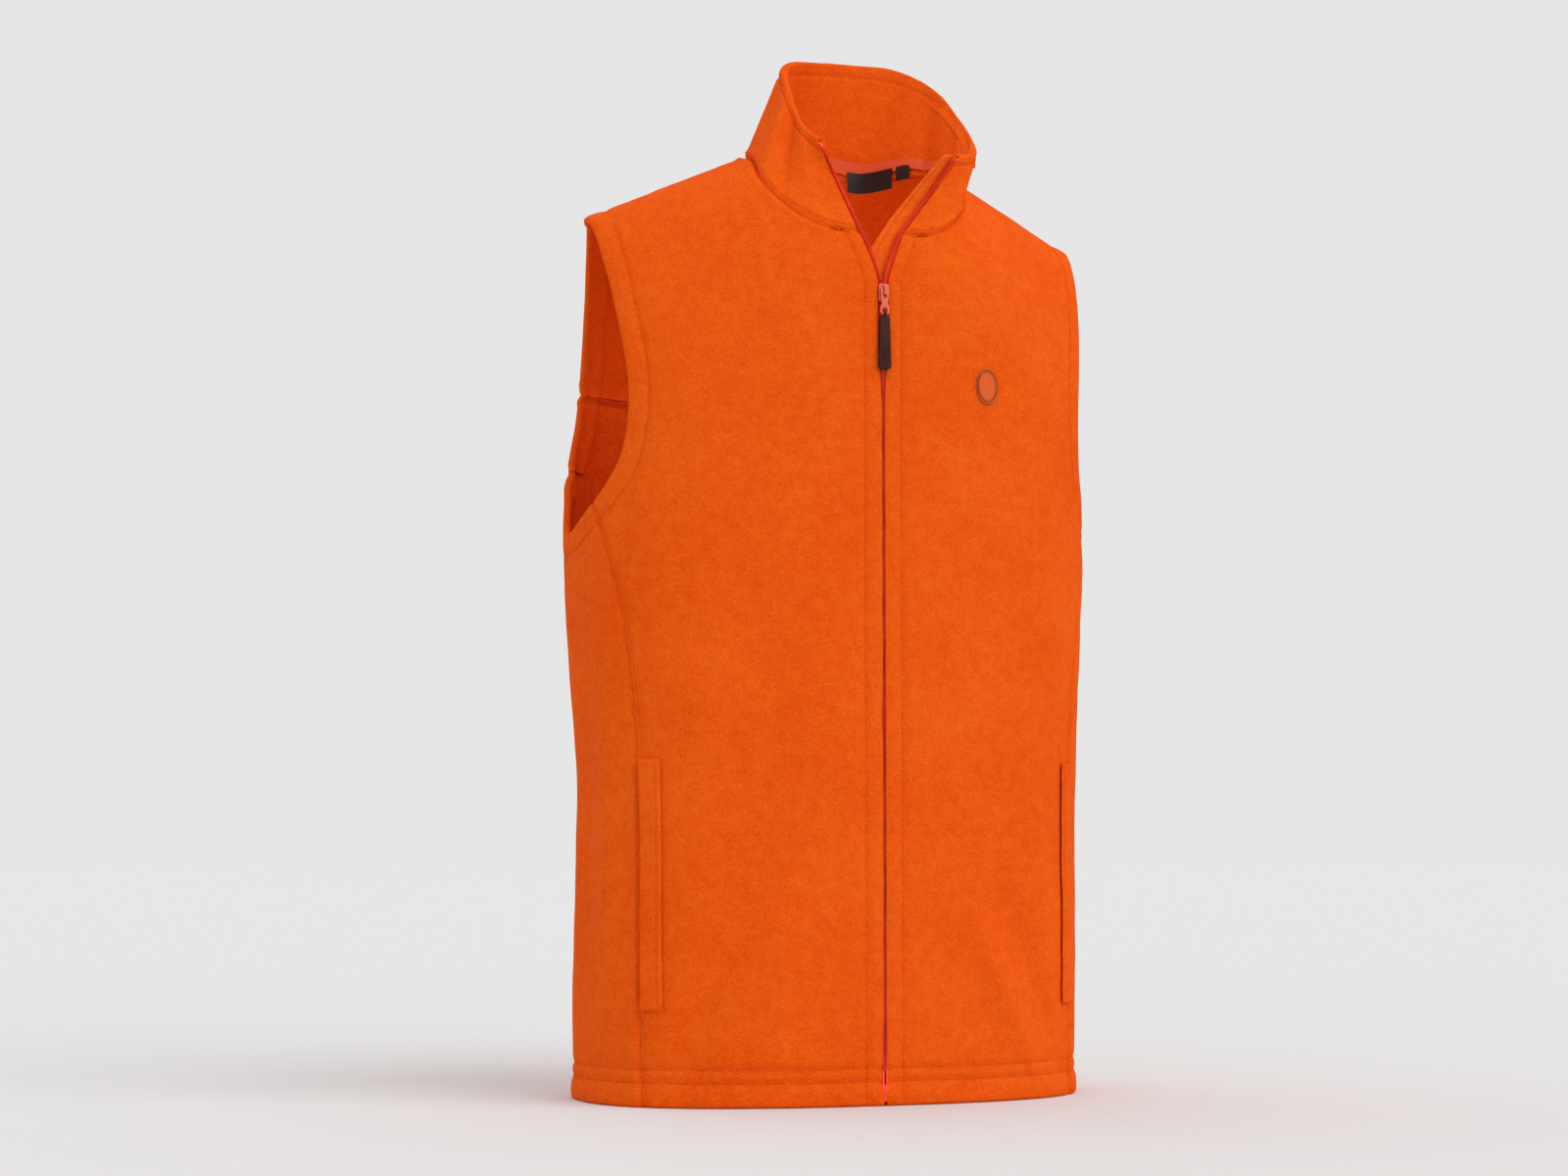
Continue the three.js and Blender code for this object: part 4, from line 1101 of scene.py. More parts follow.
@dataclass
class Shell:
    """Fronts, sides, back and yoke, with their seams and stitching."""

    cell: float = 5.0
    zip_stitch: float = 10.0
    armhole_stitch: float = 16.5
    hem_stitches: tuple[float, float] = (17.5, 27.0)
    seam_stitch: float = 4.5
    underarm: float = 0.62
    neck_corner: float = 0.8
    border: tuple[float, ...] = (0, 0.7, 1.6, 2.8, 4.5, 7.0)
    hole_border: tuple[float, ...] = (0, 0.8, 2.0, 4.5, 8.0, 12.0, 15.0, 16.5, 18.0, 20.5)
    zip_border: tuple[float, ...] = (0, 0.6, 1.4, 2.6, 4.2, 6.5, 8.7, 10.0, 11.3, 13.5)

    def rows(self, height: float, top: float = 1.0) -> Array:
        """Shares up a side seam of a given height, closer together at the hem's stitching."""
        close = (2.7, 3.4, 4.6, 6.5, 9, 12.5, 16, 17.5, 19, 22, 25.5, 27, 28.5, 32)
        even = np.arange(37, height - 3, self.cell)
        return np.r_[close, even, height - np.array([1.6, 0.6, 0])] / height * top

    def front_start(self, v: Array) -> Array:
        """The zip edge, and above it the neck seam.

        Args:
            v: Share up the panel.

        Returns:
            The spot on the border.
        """
        if float(v) > self.neck_corner:
            return SEAMS.front_neck((v - self.neck_corner) / (1 - self.neck_corner))
        z = np.interp(v, [0, self.underarm, self.neck_corner], [0, SEAMS.underarm_z, SEAMS.pattern.neck_seam])
        return np.array(SEAMS.pattern.zip_edge(float(z)))

    def front_end(self, v: Array) -> Array:
        """The side front seam, and above it the armhole."""
        if float(v) <= self.underarm:
            return SEAMS.princess(v / self.underarm)
        return SEAMS.hole_front(np.interp(v, [self.underarm, self.neck_corner, 1], [0, 0.5, 1]))

    def back_side(self, v: Array) -> Array:
        """The side back seam, and above it the armhole."""
        if float(v) <= self.underarm:
            return SEAMS.back_seam(v / self.underarm)
        return SEAMS.hole_back((v - self.underarm) / (1 - self.underarm))

    def in_hole(self, rows: Array) -> Array:
        """1 on the rows that end in an armhole."""
        return ease((rows - self.underarm) / 0.01)

    def front(self) -> Panel:
        """The left front.

        Returns:
            The panel.
        """
        s = SEAMS
        low = self.rows(s.underarm_z, self.underarm)
        upper = np.linspace(self.underarm, self.neck_corner, 46)[1:]
        neck = np.linspace(self.neck_corner, 0.9998, 34)[1:]
        return Panel(
            "left_front", s.hem(s.pattern.zip_edge(0)[0], s.princess(0.0)[0]), s.shoulder, self.front_start,
            self.front_end, np.r_[low, upper, neck], self.zip_border, self.hole_border, 34,
            [Border(s.zip_line.dense(), Edge.LIP, (self.zip_stitch,)),
             Border(s.front_neck.dense(), Edge.SEAM),
             Border(s.princess.dense(), Edge.SEAM, (self.seam_stitch,)),
             Border(s.hole_front.dense(), Edge.TURNED_IN, (self.armhole_stitch,)),
             Border(s.shoulder.dense(), Edge.SEAM),
             Border(s.hem(0.02, s.princess(0.0)[0]).dense(), Edge.TURNED_IN, self.hem_stitches)],
            turned_end=self.in_hole, lip_start=True)

    def side(self) -> Panel:
        """The left side.

        Returns:
            The panel.
        """
        s = SEAMS
        return Panel(
            "left_side", s.hem(s.princess(0.0)[0], s.back_seam(0.0)[0]), s.hole_side, s.princess, s.back_seam,
            self.side_rows(), self.border, self.border, 18,
            [Border(s.princess.dense(), Edge.SEAM), Border(s.back_seam.dense(), Edge.SEAM),
             Border(s.hole_side.dense(), Edge.TURNED_IN, (self.armhole_stitch,)),
             Border(s.hem(s.princess(0.0)[0], s.back_seam(0.0)[0]).dense(), Edge.TURNED_IN,
                    self.hem_stitches)],
            turned_top=True)

    def side_rows(self) -> Array:
        """Rows of the side panel, which ends a fold's radius below the armhole line."""
        low = self.rows(SEAMS.princess.mm)
        top = SEAMS.princess.mm - 2.7 - np.array([20.5, 18, 16.5, 15, 12, 8, 4.5, 2, 0.8, 0])
        return np.r_[low[low < (top[0] - 3) / SEAMS.princess.mm], top / SEAMS.princess.mm]

    def back(self) -> Panel:
        """The back below the yoke.

        Returns:
            The panel.
        """
        s = SEAMS
        rows = np.r_[self.rows(s.underarm_z, self.underarm), np.linspace(self.underarm, 0.9999, 34)[1:]]
        return Panel(
            "back", s.hem(s.back_seam(0.0)[0], 2 * math.pi - s.back_seam(0.0)[0]), s.yoke, self.back_side,
            lambda v: to_right(self.back_side(v)), rows, self.hole_border, self.hole_border, 50,
            [Border(s.back_seam.dense(), Edge.SEAM, (self.seam_stitch,)),
             Border(s.back_seam.dense(True), Edge.SEAM, (self.seam_stitch,)),
             Border(s.hole_back.dense(), Edge.TURNED_IN, (self.armhole_stitch,)),
             Border(s.hole_back.dense(True), Edge.TURNED_IN, (self.armhole_stitch,)),
             Border(s.yoke.dense(), Edge.SEAM),
             Border(s.hem(s.back_seam(0.0)[0], 2 * math.pi - s.back_seam(0.0)[0]).dense(), Edge.TURNED_IN,
                    self.hem_stitches)],
            turned_start=self.in_hole, turned_end=self.in_hole)

    def yoke(self) -> Panel:
        """The yoke over the shoulder blades.

        Returns:
            The panel.
        """
        s = SEAMS
        inner = np.r_[0.0001, 0.004, 0.009, 0.016, np.linspace(0.03, 0.97, 42), 0.984, 0.991, 0.996, 0.9998]
        return Panel(
            "yoke", s.yoke, self.yoke_top, s.hole_yoke, lambda v: to_right(s.hole_yoke(v)), inner,
            self.hole_border, self.hole_border, 58,
            [Border(s.yoke.dense(), Edge.SEAM, (self.seam_stitch,)), Border(s.back_neck.dense(), Edge.SEAM),
             Border(s.hole_yoke.dense(), Edge.TURNED_IN, (self.armhole_stitch,)),
             Border(s.hole_yoke.dense(True), Edge.TURNED_IN, (self.armhole_stitch,)),
             Border(s.shoulder.dense(), Edge.SEAM), Border(s.shoulder.dense(True), Edge.SEAM)],
            turned_start=np.ones_like, turned_end=np.ones_like, hem=False)

    @staticmethod
    def over_shoulder(share: Array) -> Array:
        """Spots on the back's side of the shoulder line."""
        spots = SEAMS.shoulder(share)
        return np.stack([math.pi - spots[..., 0], spots[..., 1]], -1)

    def yoke_top(self, across: Array) -> Array:
        """The yoke's upper border: one shoulder, the back of the neck, the other shoulder.

        Args:
            across: Share across the yoke.

        Returns:
            The spots on the border.
        """
        share = SEAMS.shoulder.mm / (2 * SEAMS.shoulder.mm + SEAMS.back_neck.mm)
        u = np.asarray(across, float)
        left = self.over_shoulder(1 - u / share)
        right = to_right(self.over_shoulder((u - 1 + share) / share))
        neck = SEAMS.back_neck((u - share) / (1 - 2 * share))
        return np.where(u[..., None] < share, left, np.where(u[..., None] > 1 - share, right, neck))

    def build(self) -> None:
        """Makes every panel and sews it."""
        for panel in (self.front(), self.side()):
            mesh, points, normals = panel.mesh()
            self.dress_pair(panel, mesh, points, normals)
        for panel, part in ((self.back(), "back_panel"), (self.yoke(), "back_yoke")):
            mesh, points, normals = panel.mesh()
            piece = shown(panel.name, mesh, FLEECE, "vest", [part])
            self.sew(panel, points, normals, panel.name, 1)

    def dress_pair(self, panel: Panel, mesh: bpy.types.Mesh, points: Array, normals: Array) -> None:
        """Puts up a left panel and its mirror image.

        Args:
            panel: The panel's cut.
            mesh: Its mesh.
            points: Points of its flat part.
            normals: Normals of its flat part.
        """
        part = panel.name.split("_")[1]
        for side in Side:
            name = f"{side.value}_{part}"
            own = mesh if side is Side.LEFT else self.mirrored(mesh, name)
            piece = shown(name, own, FLEECE, "vest", [f"{name}_panel"])
            self.sew(panel, points, normals, name, side.sign)

    @staticmethod
    def mirrored(mesh: bpy.types.Mesh, name: str) -> bpy.types.Mesh:
        """A mirror image with its faces outwards.

        Args:
            mesh: The left panel's mesh.
            name: The copy's name.

        Returns:
            The right panel's mesh.
        """
        bm = bmesh.new()
        bm.from_mesh(mesh)
        bmesh.ops.scale(bm, vec=(-1, 1, 1), verts=bm.verts)
        bmesh.ops.reverse_faces(bm, faces=bm.faces)
        copy = bpy.data.meshes.new(name)
        bm.to_mesh(copy)
        bm.free()
        return copy

    def sew(self, panel: Panel, points: Array, normals: Array, name: str, sign: int) -> None:
        """Stitches along each stitched border.

        Args:
            panel: The panel's cut.
            points: Points of its flat part.
            normals: Normals of its flat part.
            name: The start of the stitches' names.
            sign: 1 for the wearer's left, -1 for the mirrored right.
        """
        flip = np.array([sign, 1, 1])
        across, upward = (points, normals), (points.transpose(1, 0, 2), normals.transpose(1, 0, 2))
        for number, border in enumerate(panel.borders):
            distance = nearest(points, border.line)
            for at in border.stitched:
                is_hem = border.stitched == self.hem_stitches
                is_top = panel.turned_top and border.edge is Edge.TURNED_IN and not is_hem
                is_yoke = panel.name == "yoke" and border.edge is Edge.SEAM
                if is_hem or is_yoke or is_top:
                    grid, far = upward, distance.T
                    order = slice(None, None, -1 if is_top else 1)
                else:
                    grid, far = across, distance
                    starts = distance[:, 0].min() < distance[:, -1].min()
                    order = slice(None, None, 1 if starts else -1)
                line, facing = crossing_line(grid[0][:, order], grid[1][:, order], far[:, order], at)
                if len(line) < 3:
                    continue
                near = np.r_[True, np.linalg.norm(np.diff(line, axis=0), axis=1) < 25]
                line, facing = line[near], facing[near]
                STITCHING.sew(f"{name}_stitches_{number}_{int(at)}", line * flip, facing * flip)


# ---- Collar -------------------------------------------------------------------------------------------


@dataclass
class Collar:
    """The stand collar: one folded piece of fleece, its neck tape and labels."""

    rise: tuple[tuple[float, float, float], ...] = (
        (-24.5, 22, 71), (15.5, 34, 77.5), (35.5, 29, 73), (35.5, 13, 79), (32, -3.5, 88), (27, -5, 84),
        (20, 4.5, 89), (14.5, 23, 73), (17.5, 36, 63), (32.5, 30, 63.5), (52.5, 13, 65))
    inner_face: float = 6.5
    columns: int = 110
    label: tuple[float, float] = (0.555, 0.645)
    tab: tuple[float, float] = (0.652, 0.675)
    rim: Array = field(default_factory=lambda: np.zeros((0, 3)))

    def __post_init__(self) -> None:
        """Draws the rim through its eleven places."""
        spots = [SEAMS.on_neck(BODY.points, i / 10) + np.array(r) for i, r in enumerate(self.rise)]
        self.rim = self.centripetal(np.array(spots))

    @staticmethod
    def centripetal(p: Array, each: int = 40) -> Array:
        """A smooth curve through places, evenly parameterised between them.

        Args:
            p: The places, in order.
            each: Points made between two places.

        Returns:
            The curve's points.
        """
        full = np.concatenate([[2 * p[0] - p[1]], p, [2 * p[-1] - p[-2]]])
        out = []
        for i in range(len(p) - 1):
            a, b, c, d = full[i : i + 4]
            t0, t1, t2 = (np.linalg.norm(y - x) ** 0.5 for x, y in ((a, b), (b, c), (c, d)))
            va = ((b - a) / t0 - (c - a) / (t0 + t1) + (c - b) / t1) * t1
            vb = ((c - b) / t1 - (d - b) / (t1 + t2) + (d - c) / t2) * t1
            t = (np.arange(each) / each)[:, None]
            out.append((2 * b - 2 * c + va + vb) * t**3 + (-3 * b + 3 * c - 2 * va - vb) * t**2 + va * t + b)
        return np.concatenate([*out, p[-1:]])

    def rim_at(self, share: float) -> Array:
        """A place on the rim."""
        at = min(max(share, 0), 1) * (len(self.rim) - 1)
        return np.array([np.interp(at, np.arange(len(self.rim)), self.rim[:, k]) for k in range(3)])

    def point(self, share: float, up: float) -> Array:
        """A place on the collar's outer face."""
        return lerp(SEAMS.on_neck(BODY.points, min(max(share, 0), 1)), self.rim_at(share), up)

    def normal(self, share: float, up: float) -> Array:
        """The outward direction there, square to the body at the seam where the two lean alike.

        Args:
            share: Share round the neck.
            up: Share of the collar's height.

        Returns:
            A unit vector.
        """
        low = min(max(share, 0.01), 0.99)
        across = self.point(low + 0.01, up) - self.point(low - 0.01, up)
        rise = unit(self.rim_at(low) - SEAMS.on_neck(BODY.points, low))
        wall = unit(np.cross(rise, across))
        square = SEAMS.on_neck(BODY.normals, low)
        blend = (1 - ease(up / 0.25)) * (1 - ease(float(rise @ square) / 0.35))
        return unit(lerp(wall, square, blend))

    def inside(self, share: float, up: float, depth: float) -> Array:
        """A place at a depth behind the outer face."""
        return self.point(share, up) - self.normal(share, up) * depth

    def ripple(self, share: float, up: float) -> float:
        """Soft upright folds, most on the wearer's right front.

        Args:
            share: Share round the neck.
            up: Share of the collar's height.

        Returns:
            Millimetres outwards.
        """
        folds = ((0.075, 0.02, 2.8), (0.13, 0.015, -4.4), (0.19, 0.02, 3.2), (0.26, 0.02, -3.6),
                 (0.42, 0.03, 1.6), (0.55, 0.03, -1.6), (0.7, 0.03, 2.0), (0.82, 0.022, -2.0),
                 (0.9, 0.02, 1.4))
        lift = sum(h * math.exp(-(((share - s) / w) ** 2)) for s, w, h in folds)
        return lift * math.sin(math.pi * min(max(up, 0.03), 0.97)) ** 0.6

    def build(self) -> None:
        """Makes the collar, its tape and its labels."""
        shares = np.r_[0.0005, 0.002, 0.006, 0.012, np.linspace(0.02, 0.98, self.columns),
                       0.988, 0.994, 0.998, 0.9995]
        radius = self.inner_face / 2
        rows, faces = [], []
        outer_mm = np.r_[-4.0, -1.8, 0.3, 1.2, 2.4, 4.2, np.linspace(8, 60, 13)]
        for share in shares:
            height = float(np.linalg.norm(self.rim_at(share) - SEAMS.on_neck(BODY.points, share)))
            top = height - radius
            ups = np.r_[outer_mm * top / 70, np.array([-11, -9.2, -8, -6.8, -4.5, -2]) + top, top]
            column, facing = [], []
            rise = unit(self.rim_at(share) - SEAMS.on_neck(BODY.points, share))
            for mm in ups:
                up = mm / height
                out = self.normal(share, up)
                lift = self.ripple(share, up) - 1.3 * math.exp(-(((top - mm - 8) / 1.5) ** 2))
                lift -= 1.4 * math.exp(-((max(mm, 0) / 2.3) ** 2)) - 0.9 * math.exp(-(((mm - 5.0) / 3) ** 2))
                lift -= 1.2 * min(max(-mm, 0), 1.8)
                column.append(self.point(share, up) + out * lift)
                facing.append(out)
            edge, out = column[-1], facing[-1]
            for angle in np.linspace(0, math.pi, 9)[1:-1]:
                column.append(edge + rise * radius * math.sin(angle) - out * radius * (1 - math.cos(angle)))
                facing.append(out * math.cos(angle) + rise * math.sin(angle))
            for mm in ups[::-1]:
                up = mm / height
                out = self.normal(share, up)
                lift = self.ripple(share, up) + 0.9 * math.exp(-(((top - mm - 8) / 1.3) ** 2))
                column.append(self.inside(share, up, self.inner_face - 0.3) + out * lift)
                facing.append(-out)
            rows.append(column)
            faces.append(facing)
        points, normals = np.array(rows).transpose(1, 0, 2), np.array(faces).transpose(1, 0, 2)
        noise_lift = 0.5 * lumps(points, 26, 5.0) + 0.2 * lumps(points, 8, 7.0)
        points = points + normals * noise_lift[..., None]
        mesh = cloth("collar", points[:, ::-1], 2.6)
        self.outward(mesh)
        piece = shown("collar", mesh, FLEECE, "vest", ["collar_outer", "collar_lining"])
        channel = len(outer_mm) + 2
        STITCHING.sew("collar_rim_stitches", points[channel], normals[channel])
        STITCHING.sew("collar_seam_stitches", points[5], normals[5])
        self.tape()
        self.labels()

    @staticmethod
    def outward(mesh: bpy.types.Mesh) -> None:
        """Turns the faces out if the closed mesh is inside out.

        Args:
            mesh: The mesh to turn, in place.
        """
        bm = bmesh.new()
        bm.from_mesh(mesh)
        if bm.calc_volume(signed=True) < 0:
            bmesh.ops.reverse_faces(bm, faces=bm.faces)
        bm.to_mesh(mesh)
        bm.free()

    def ribbon(self, shares: Array, depth: float, ups: Array) -> Array:
        """A grid at a depth inside the collar."""
        return np.array([[self.inside(s, u, depth) + self.normal(s, u) * self.ripple(s, u) for s in shares]
                         for u in ups])

    def tape(self) -> None:
        """Twill tape over the neck seam, inside."""
        grid = self.ribbon(np.linspace(0.2, 0.8, 90), 7.3, np.linspace(0.0, 0.118, 8))
        mesh = cloth("neck_tape_twill", grid[:, ::-1], 0.6)
        self.outward(mesh)
        piece = shown("neck_tape_twill", mesh, TWILL, "vest", ["neck_tape"])

    def labels(self) -> None:
        """A plain satin label and a small folded size tab, hanging from the tape."""
        for name, (start, end), drop, node_name in (
                ("satin_label", self.label, 16, "neck_label"), ("satin_tab", self.tab, 11, "size_tab")):
            shares, rows = np.linspace(start, end, 18), np.linspace(0, 1, 12)
            grid = np.array([[
                self.inside(s, 0.03, 9.0 + 0.5 * math.sin(math.pi * t) + 0.25 * math.sin(40 * s))
                - [0, 0, 0.4 + (1 - t) * drop] for s in shares] for t in rows])
            mesh = cloth(name, grid[:, ::-1], 0.35)
            self.outward(mesh)
            piece = shown(name, mesh, SATIN, "vest", [node_name])


# ---- Zip ----------------------------------------------------------------------------------------------


@dataclass
class Zip:
    """Tapes, coils, flap, stops, box and pin, slider, puller and moulded tab."""

    collar: Collar
    pitch: float = 1.5
    tape_reach: tuple[float, float] = (0.9, 14.0)
    tape_from: float = 15.3
    coil_from: float = 25.8
    wire: float = 0.34
    neck_length: float = 500.0

    def beside(self, is_left: bool, along: float, out: float, depth: float) -> Array:
        """A place beside the zip edge: out from the zip's centre line, depth behind the cloth's face.

        Args:
            is_left: Which half of the zip.
            along: Height up the body to the neck seam, then mm up the collar.
            out: Distance from the zip's centre line.
            depth: Distance behind the cloth's face.

        Returns:
            The place in mm.
        """
        pattern = SEAMS.pattern
        past = out - pattern.edge_gap
        if along <= pattern.neck_seam:
            spot = np.array(pattern.zip_edge(along))
            ahead = unit(BODY.points(np.array(pattern.zip_edge(along + 0.5)))
                         - BODY.points(np.array(pattern.zip_edge(along - 0.5))))
            sideways = -np.cross(BODY.normals(spot), ahead)
            x, _, z = BODY.points(spot) + sideways * past
            on = np.array(BODY.over(max(x, 1e-3), z))
            point = BODY.points(on) - BODY.normals(on) * depth
            if x <= 1e-3:
                point[0] = x
            return point if is_left else point * [-1, 1, 1]
        edge_share, inward = (1.0, -1) if is_left else (0.0, 1)
        rise = float(np.linalg.norm(self.collar.rim_at(edge_share) - SEAMS.on_neck(BODY.points, edge_share)))
        up = (along - pattern.neck_seam) / rise
        edge = self.collar.point(edge_share, up)
        point = self.collar.inside(edge_share + inward * max(past, 0) / self.neck_length, up, depth)
        if past < 0:
            sideways = unit(self.collar.point(edge_share + inward * 0.02, up) - edge)
            point = point + sideways * past
        return point

    def top_along(self, is_left: bool, up: float) -> float:
        """How far along the zip a share of the collar's height is."""
        share = 1.0 if is_left else 0.0
        return SEAMS.pattern.neck_seam + up * float(
            np.linalg.norm(self.collar.rim_at(share) - SEAMS.on_neck(BODY.points, share)))

    def ribbon(self, is_left: bool, outs: Sequence[float], depths: Sequence[float], low: float, high: float,
               step: float = 6.0) -> Array:
        """A grid of places along the zip, running to the wearer's left."""
        at = np.linspace(low, high, int((high - low) / step))
        grid = np.array([[self.beside(is_left, a, o, d) for o, d in zip(outs, depths)] for a in at])
        return grid if is_left else grid[:, ::-1]

    def build(self) -> None:
        """Makes every part of the zip."""
        for side in Side:
            is_left = side is Side.LEFT
            top = self.top_along(is_left, 0.97)
            outs = np.linspace(*self.tape_reach, 6)
            grid = self.ribbon(is_left, outs, [3.15] * 6, self.tape_from, top)
            mesh = cloth(f"{side.value}_tape", grid, 0.45)
            piece = shown(f"{side.value}_tape", mesh, ZIP_TAPE, "vest",
                          [f"{side.value}_zip_tape"])
            self.coil(side)
        self.flap()
        self.hard_parts()

    def coil(self, side: Side) -> None:
        """Nylon coil: D-shaped loops of filament, half a pitch apart on the two sides so that they mesh.

        Args:
            side: Which half of the zip.
        """
        is_left = side is Side.LEFT
        top = self.top_along(is_left, 0.925)
        stations = np.arange(self.coil_from + (0 if is_left else self.pitch / 2), top, self.pitch)
        loop = np.array([(2.45, 2.45), (1.1, 2.5), (0.15, 2.2), (-0.2, 1.6), (0.15, 1.0), (1.1, 0.85),
                         (2.45, 0.95)])
        template = self.loop_mesh(loop)
        frames = []
        for at in stations:
            low, high = self.beside(is_left, at - 0.6, 1.5, 0), self.beside(is_left, at + 0.6, 1.5, 0)
            origin = self.beside(is_left, at, 0.0, 0.0)
            sideways = unit(self.beside(is_left, at, 2.0, 0.0) - origin)
            inward = unit(self.beside(is_left, at, 1.5, 2.0) - self.beside(is_left, at, 1.5, 0.0))
            frame = np.eye(4)
            frame[:3, 0], frame[:3, 1], frame[:3, 2] = sideways, inward, unit(high - low)
            frame[:3, 3] = PLACE.metres(origin)
            frames.append(frame)
        mesh = repeated(f"{side.value}_coil", template, np.array(frames))
        self.collar.outward(mesh)
        shown(f"{side.value}_coil", mesh, ZIP_NYLON, "vest", [f"{side.value}_zip_coil"])

    def loop_mesh(self, loop: Array) -> bpy.types.Mesh:
        """One filament loop: a five-sided wire swept through the loop's places and closed at both ends.

        Args:
            loop: The loop's places, out from the zip's centre line and behind the cloth's face.

        Returns:
            The loop's mesh, in metres.
        """
        bm = bmesh.new()
        ring = bmesh.ops.create_circle(bm, cap_ends=True, segments=5, radius=self.wire * MM,
                                       matrix=self.across(loop, 0))["verts"]
        face = ring[0].link_faces[0]
        for i in range(1, len(loop)):
            made = bmesh.ops.extrude_face_region(bm, geom=[face])["geom"]
            old, verts = face, [g for g in made if isinstance(g, bmesh.types.BMVert)]
            face = next(g for g in made if isinstance(g, bmesh.types.BMFace))
            if i > 1:
                bmesh.ops.delete(bm, geom=[old], context="FACES_ONLY")
            turn = self.across(loop, i) @ self.across(loop, i - 1).inverted()
            bmesh.ops.transform(bm, matrix=turn, verts=verts)
        bmesh.ops.recalc_face_normals(bm, faces=bm.faces)
        mesh = bpy.data.meshes.new("filament_loop")
        bm.to_mesh(mesh)
        bm.free()
        return mesh

    @staticmethod
    def across(loop: Array, i: int) -> Matrix:
        """A frame square to the loop at one of its places.

        Args:
            loop: The loop's places.
            i: Which place.

        Returns:
            The frame.
        """
        ahead = loop[min(i + 1, len(loop) - 1)] - loop[max(i - 1, 0)]
        angle = math.atan2(ahead[1], ahead[0])
        turn = Matrix.Rotation(angle, 4, "Z") @ Matrix.Rotation(math.pi / 2, 4, "Y")
        return Matrix.Translation((loop[i][0] * MM, loop[i][1] * MM, 0)) @ turn

    def flap(self) -> None:
        """The wind flap behind the zip, sewn to the left tape and topstitched near its free edge."""
        body_top = SEAMS.pattern.neck_seam
        top = self.top_along(True, 0.98)
        at = np.r_[np.linspace(2, body_top - 16, 118), np.linspace(body_top + 16, top, 14)]
        rows = []
        for a in at:
            narrowed = ease((a - body_top + 26) / 24)
            sewn = lerp(16.0, 4.7, narrowed)
            outs = [-14, -13.2, -12, -10, -9, -8, -4, 0, 4.2, lerp(6.3, 4.3, narrowed), sewn]
            depths = [6.0, 5.6, 5.4, 5.5, 6.0, 5.5, 5.4, 5.4, 5.4, 5.3, lerp(4.0, 5.3, narrowed)]
            rows.append([self.beside(True, a, o, d) for o, d in zip(outs, depths)])
        grid = np.array(rows)
        mesh = cloth("flap", grid, 2.4)
        piece = shown("flap", mesh, FLEECE_BACK, "vest", ["wind_flap"])
        normals = np.repeat([[0.0, -1.0, 0.0]], len(grid), 0)
        STITCHING.sew("flap_stitches", grid[:, 4], normals)

    def hard_parts(self) -> None:
        """Softened copies of the slider, its puller, the tab, the stops, the box and the pin."""
        for part, body, finish, slot, radius in (
                ("slider_body", "slider", ENAMEL, "slider_enamel", 0.25),
                ("slider_puller", "puller", ENAMEL, "slider_enamel", 0.22),
                ("pull_tab", "tab", MOULDED, "moulded_tab", 0.45),
                ("retainer_box", "vest", ZIP_NYLON, "zip_nylon", 0.3),
                ("insertion_pin", "vest", ZIP_NYLON, "zip_nylon", 0.25),
                ("left_top_stop", "vest", ZIP_NYLON, "zip_nylon", 0.3),
                ("right_top_stop", "vest", ZIP_NYLON, "zip_nylon", 0.3)):
            mesh = self.softened(part, radius)
            shown(f"{part}_finished", mesh, finish, body, [part])
        self.tab_relief()

    @staticmethod
    def softened(part: str, radius: float) -> bpy.types.Mesh:
        """A copy of one of the part's solids with its edges rounded.

        Args:
            part: The solid's name.
            radius: The rounding in mm.

        Returns:
            The rounded mesh.
        """
        source = next(o for o in bpy.data.objects if o.name == part)
        bm = bmesh.new()
        bm.from_mesh(source.data)
        bmesh.ops.remove_doubles(bm, verts=bm.verts, dist=1e-6)
        bmesh.ops.dissolve_limit(bm, angle_limit=math.radians(2), verts=bm.verts, edges=bm.edges)
        sharp = [e for e in bm.edges if len(e.link_faces) == 2 and e.calc_face_angle(0) > math.radians(35)]
        bmesh.ops.bevel(bm, geom=sharp, offset=radius * MM, offset_type="OFFSET", segments=3, profile=0.5,
                        affect="EDGES", clamp_overlap=True, material=-1)
        mesh = bpy.data.meshes.new(part + "_finished")
        bm.to_mesh(mesh)
        bm.free()
        mesh.polygons.foreach_set("use_smooth", [True] * len(mesh.polygons))
        mesh.set_sharp_from_angle(angle=math.radians(50))
        return mesh

    @staticmethod
    def tab_relief() -> None:
        """Five grip ribs across the tab's face."""
        low, high = (np.array(c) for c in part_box("pull_tab"))
        bm = bmesh.new()
        middle_x, front = (low[0] + high[0]) / 2, low[1] + 0.0010
        for i in range(5):
            z = low[2] + 0.006 + i * 0.0022
            made = bmesh.ops.create_cube(bm, size=1.0)["verts"]
            bmesh.ops.scale(bm, vec=(0.0056, 0.0007, 0.0008), verts=made)
            bmesh.ops.translate(bm, vec=(middle_x, front, z), verts=made)
        bmesh.ops.bevel(bm, geom=list(bm.edges), offset=0.00025, offset_type="OFFSET", segments=2,
                        profile=0.5, affect="EDGES", material=-1)
        mesh = bpy.data.meshes.new("tab_ribs")
        bm.to_mesh(mesh)
        bm.free()
        mesh.polygons.foreach_set("use_smooth", [True] * len(mesh.polygons))
        shown("tab_ribs", mesh, MOULDED, "tab")


# ---- Pockets and badge --------------------------------------------------------------------------------


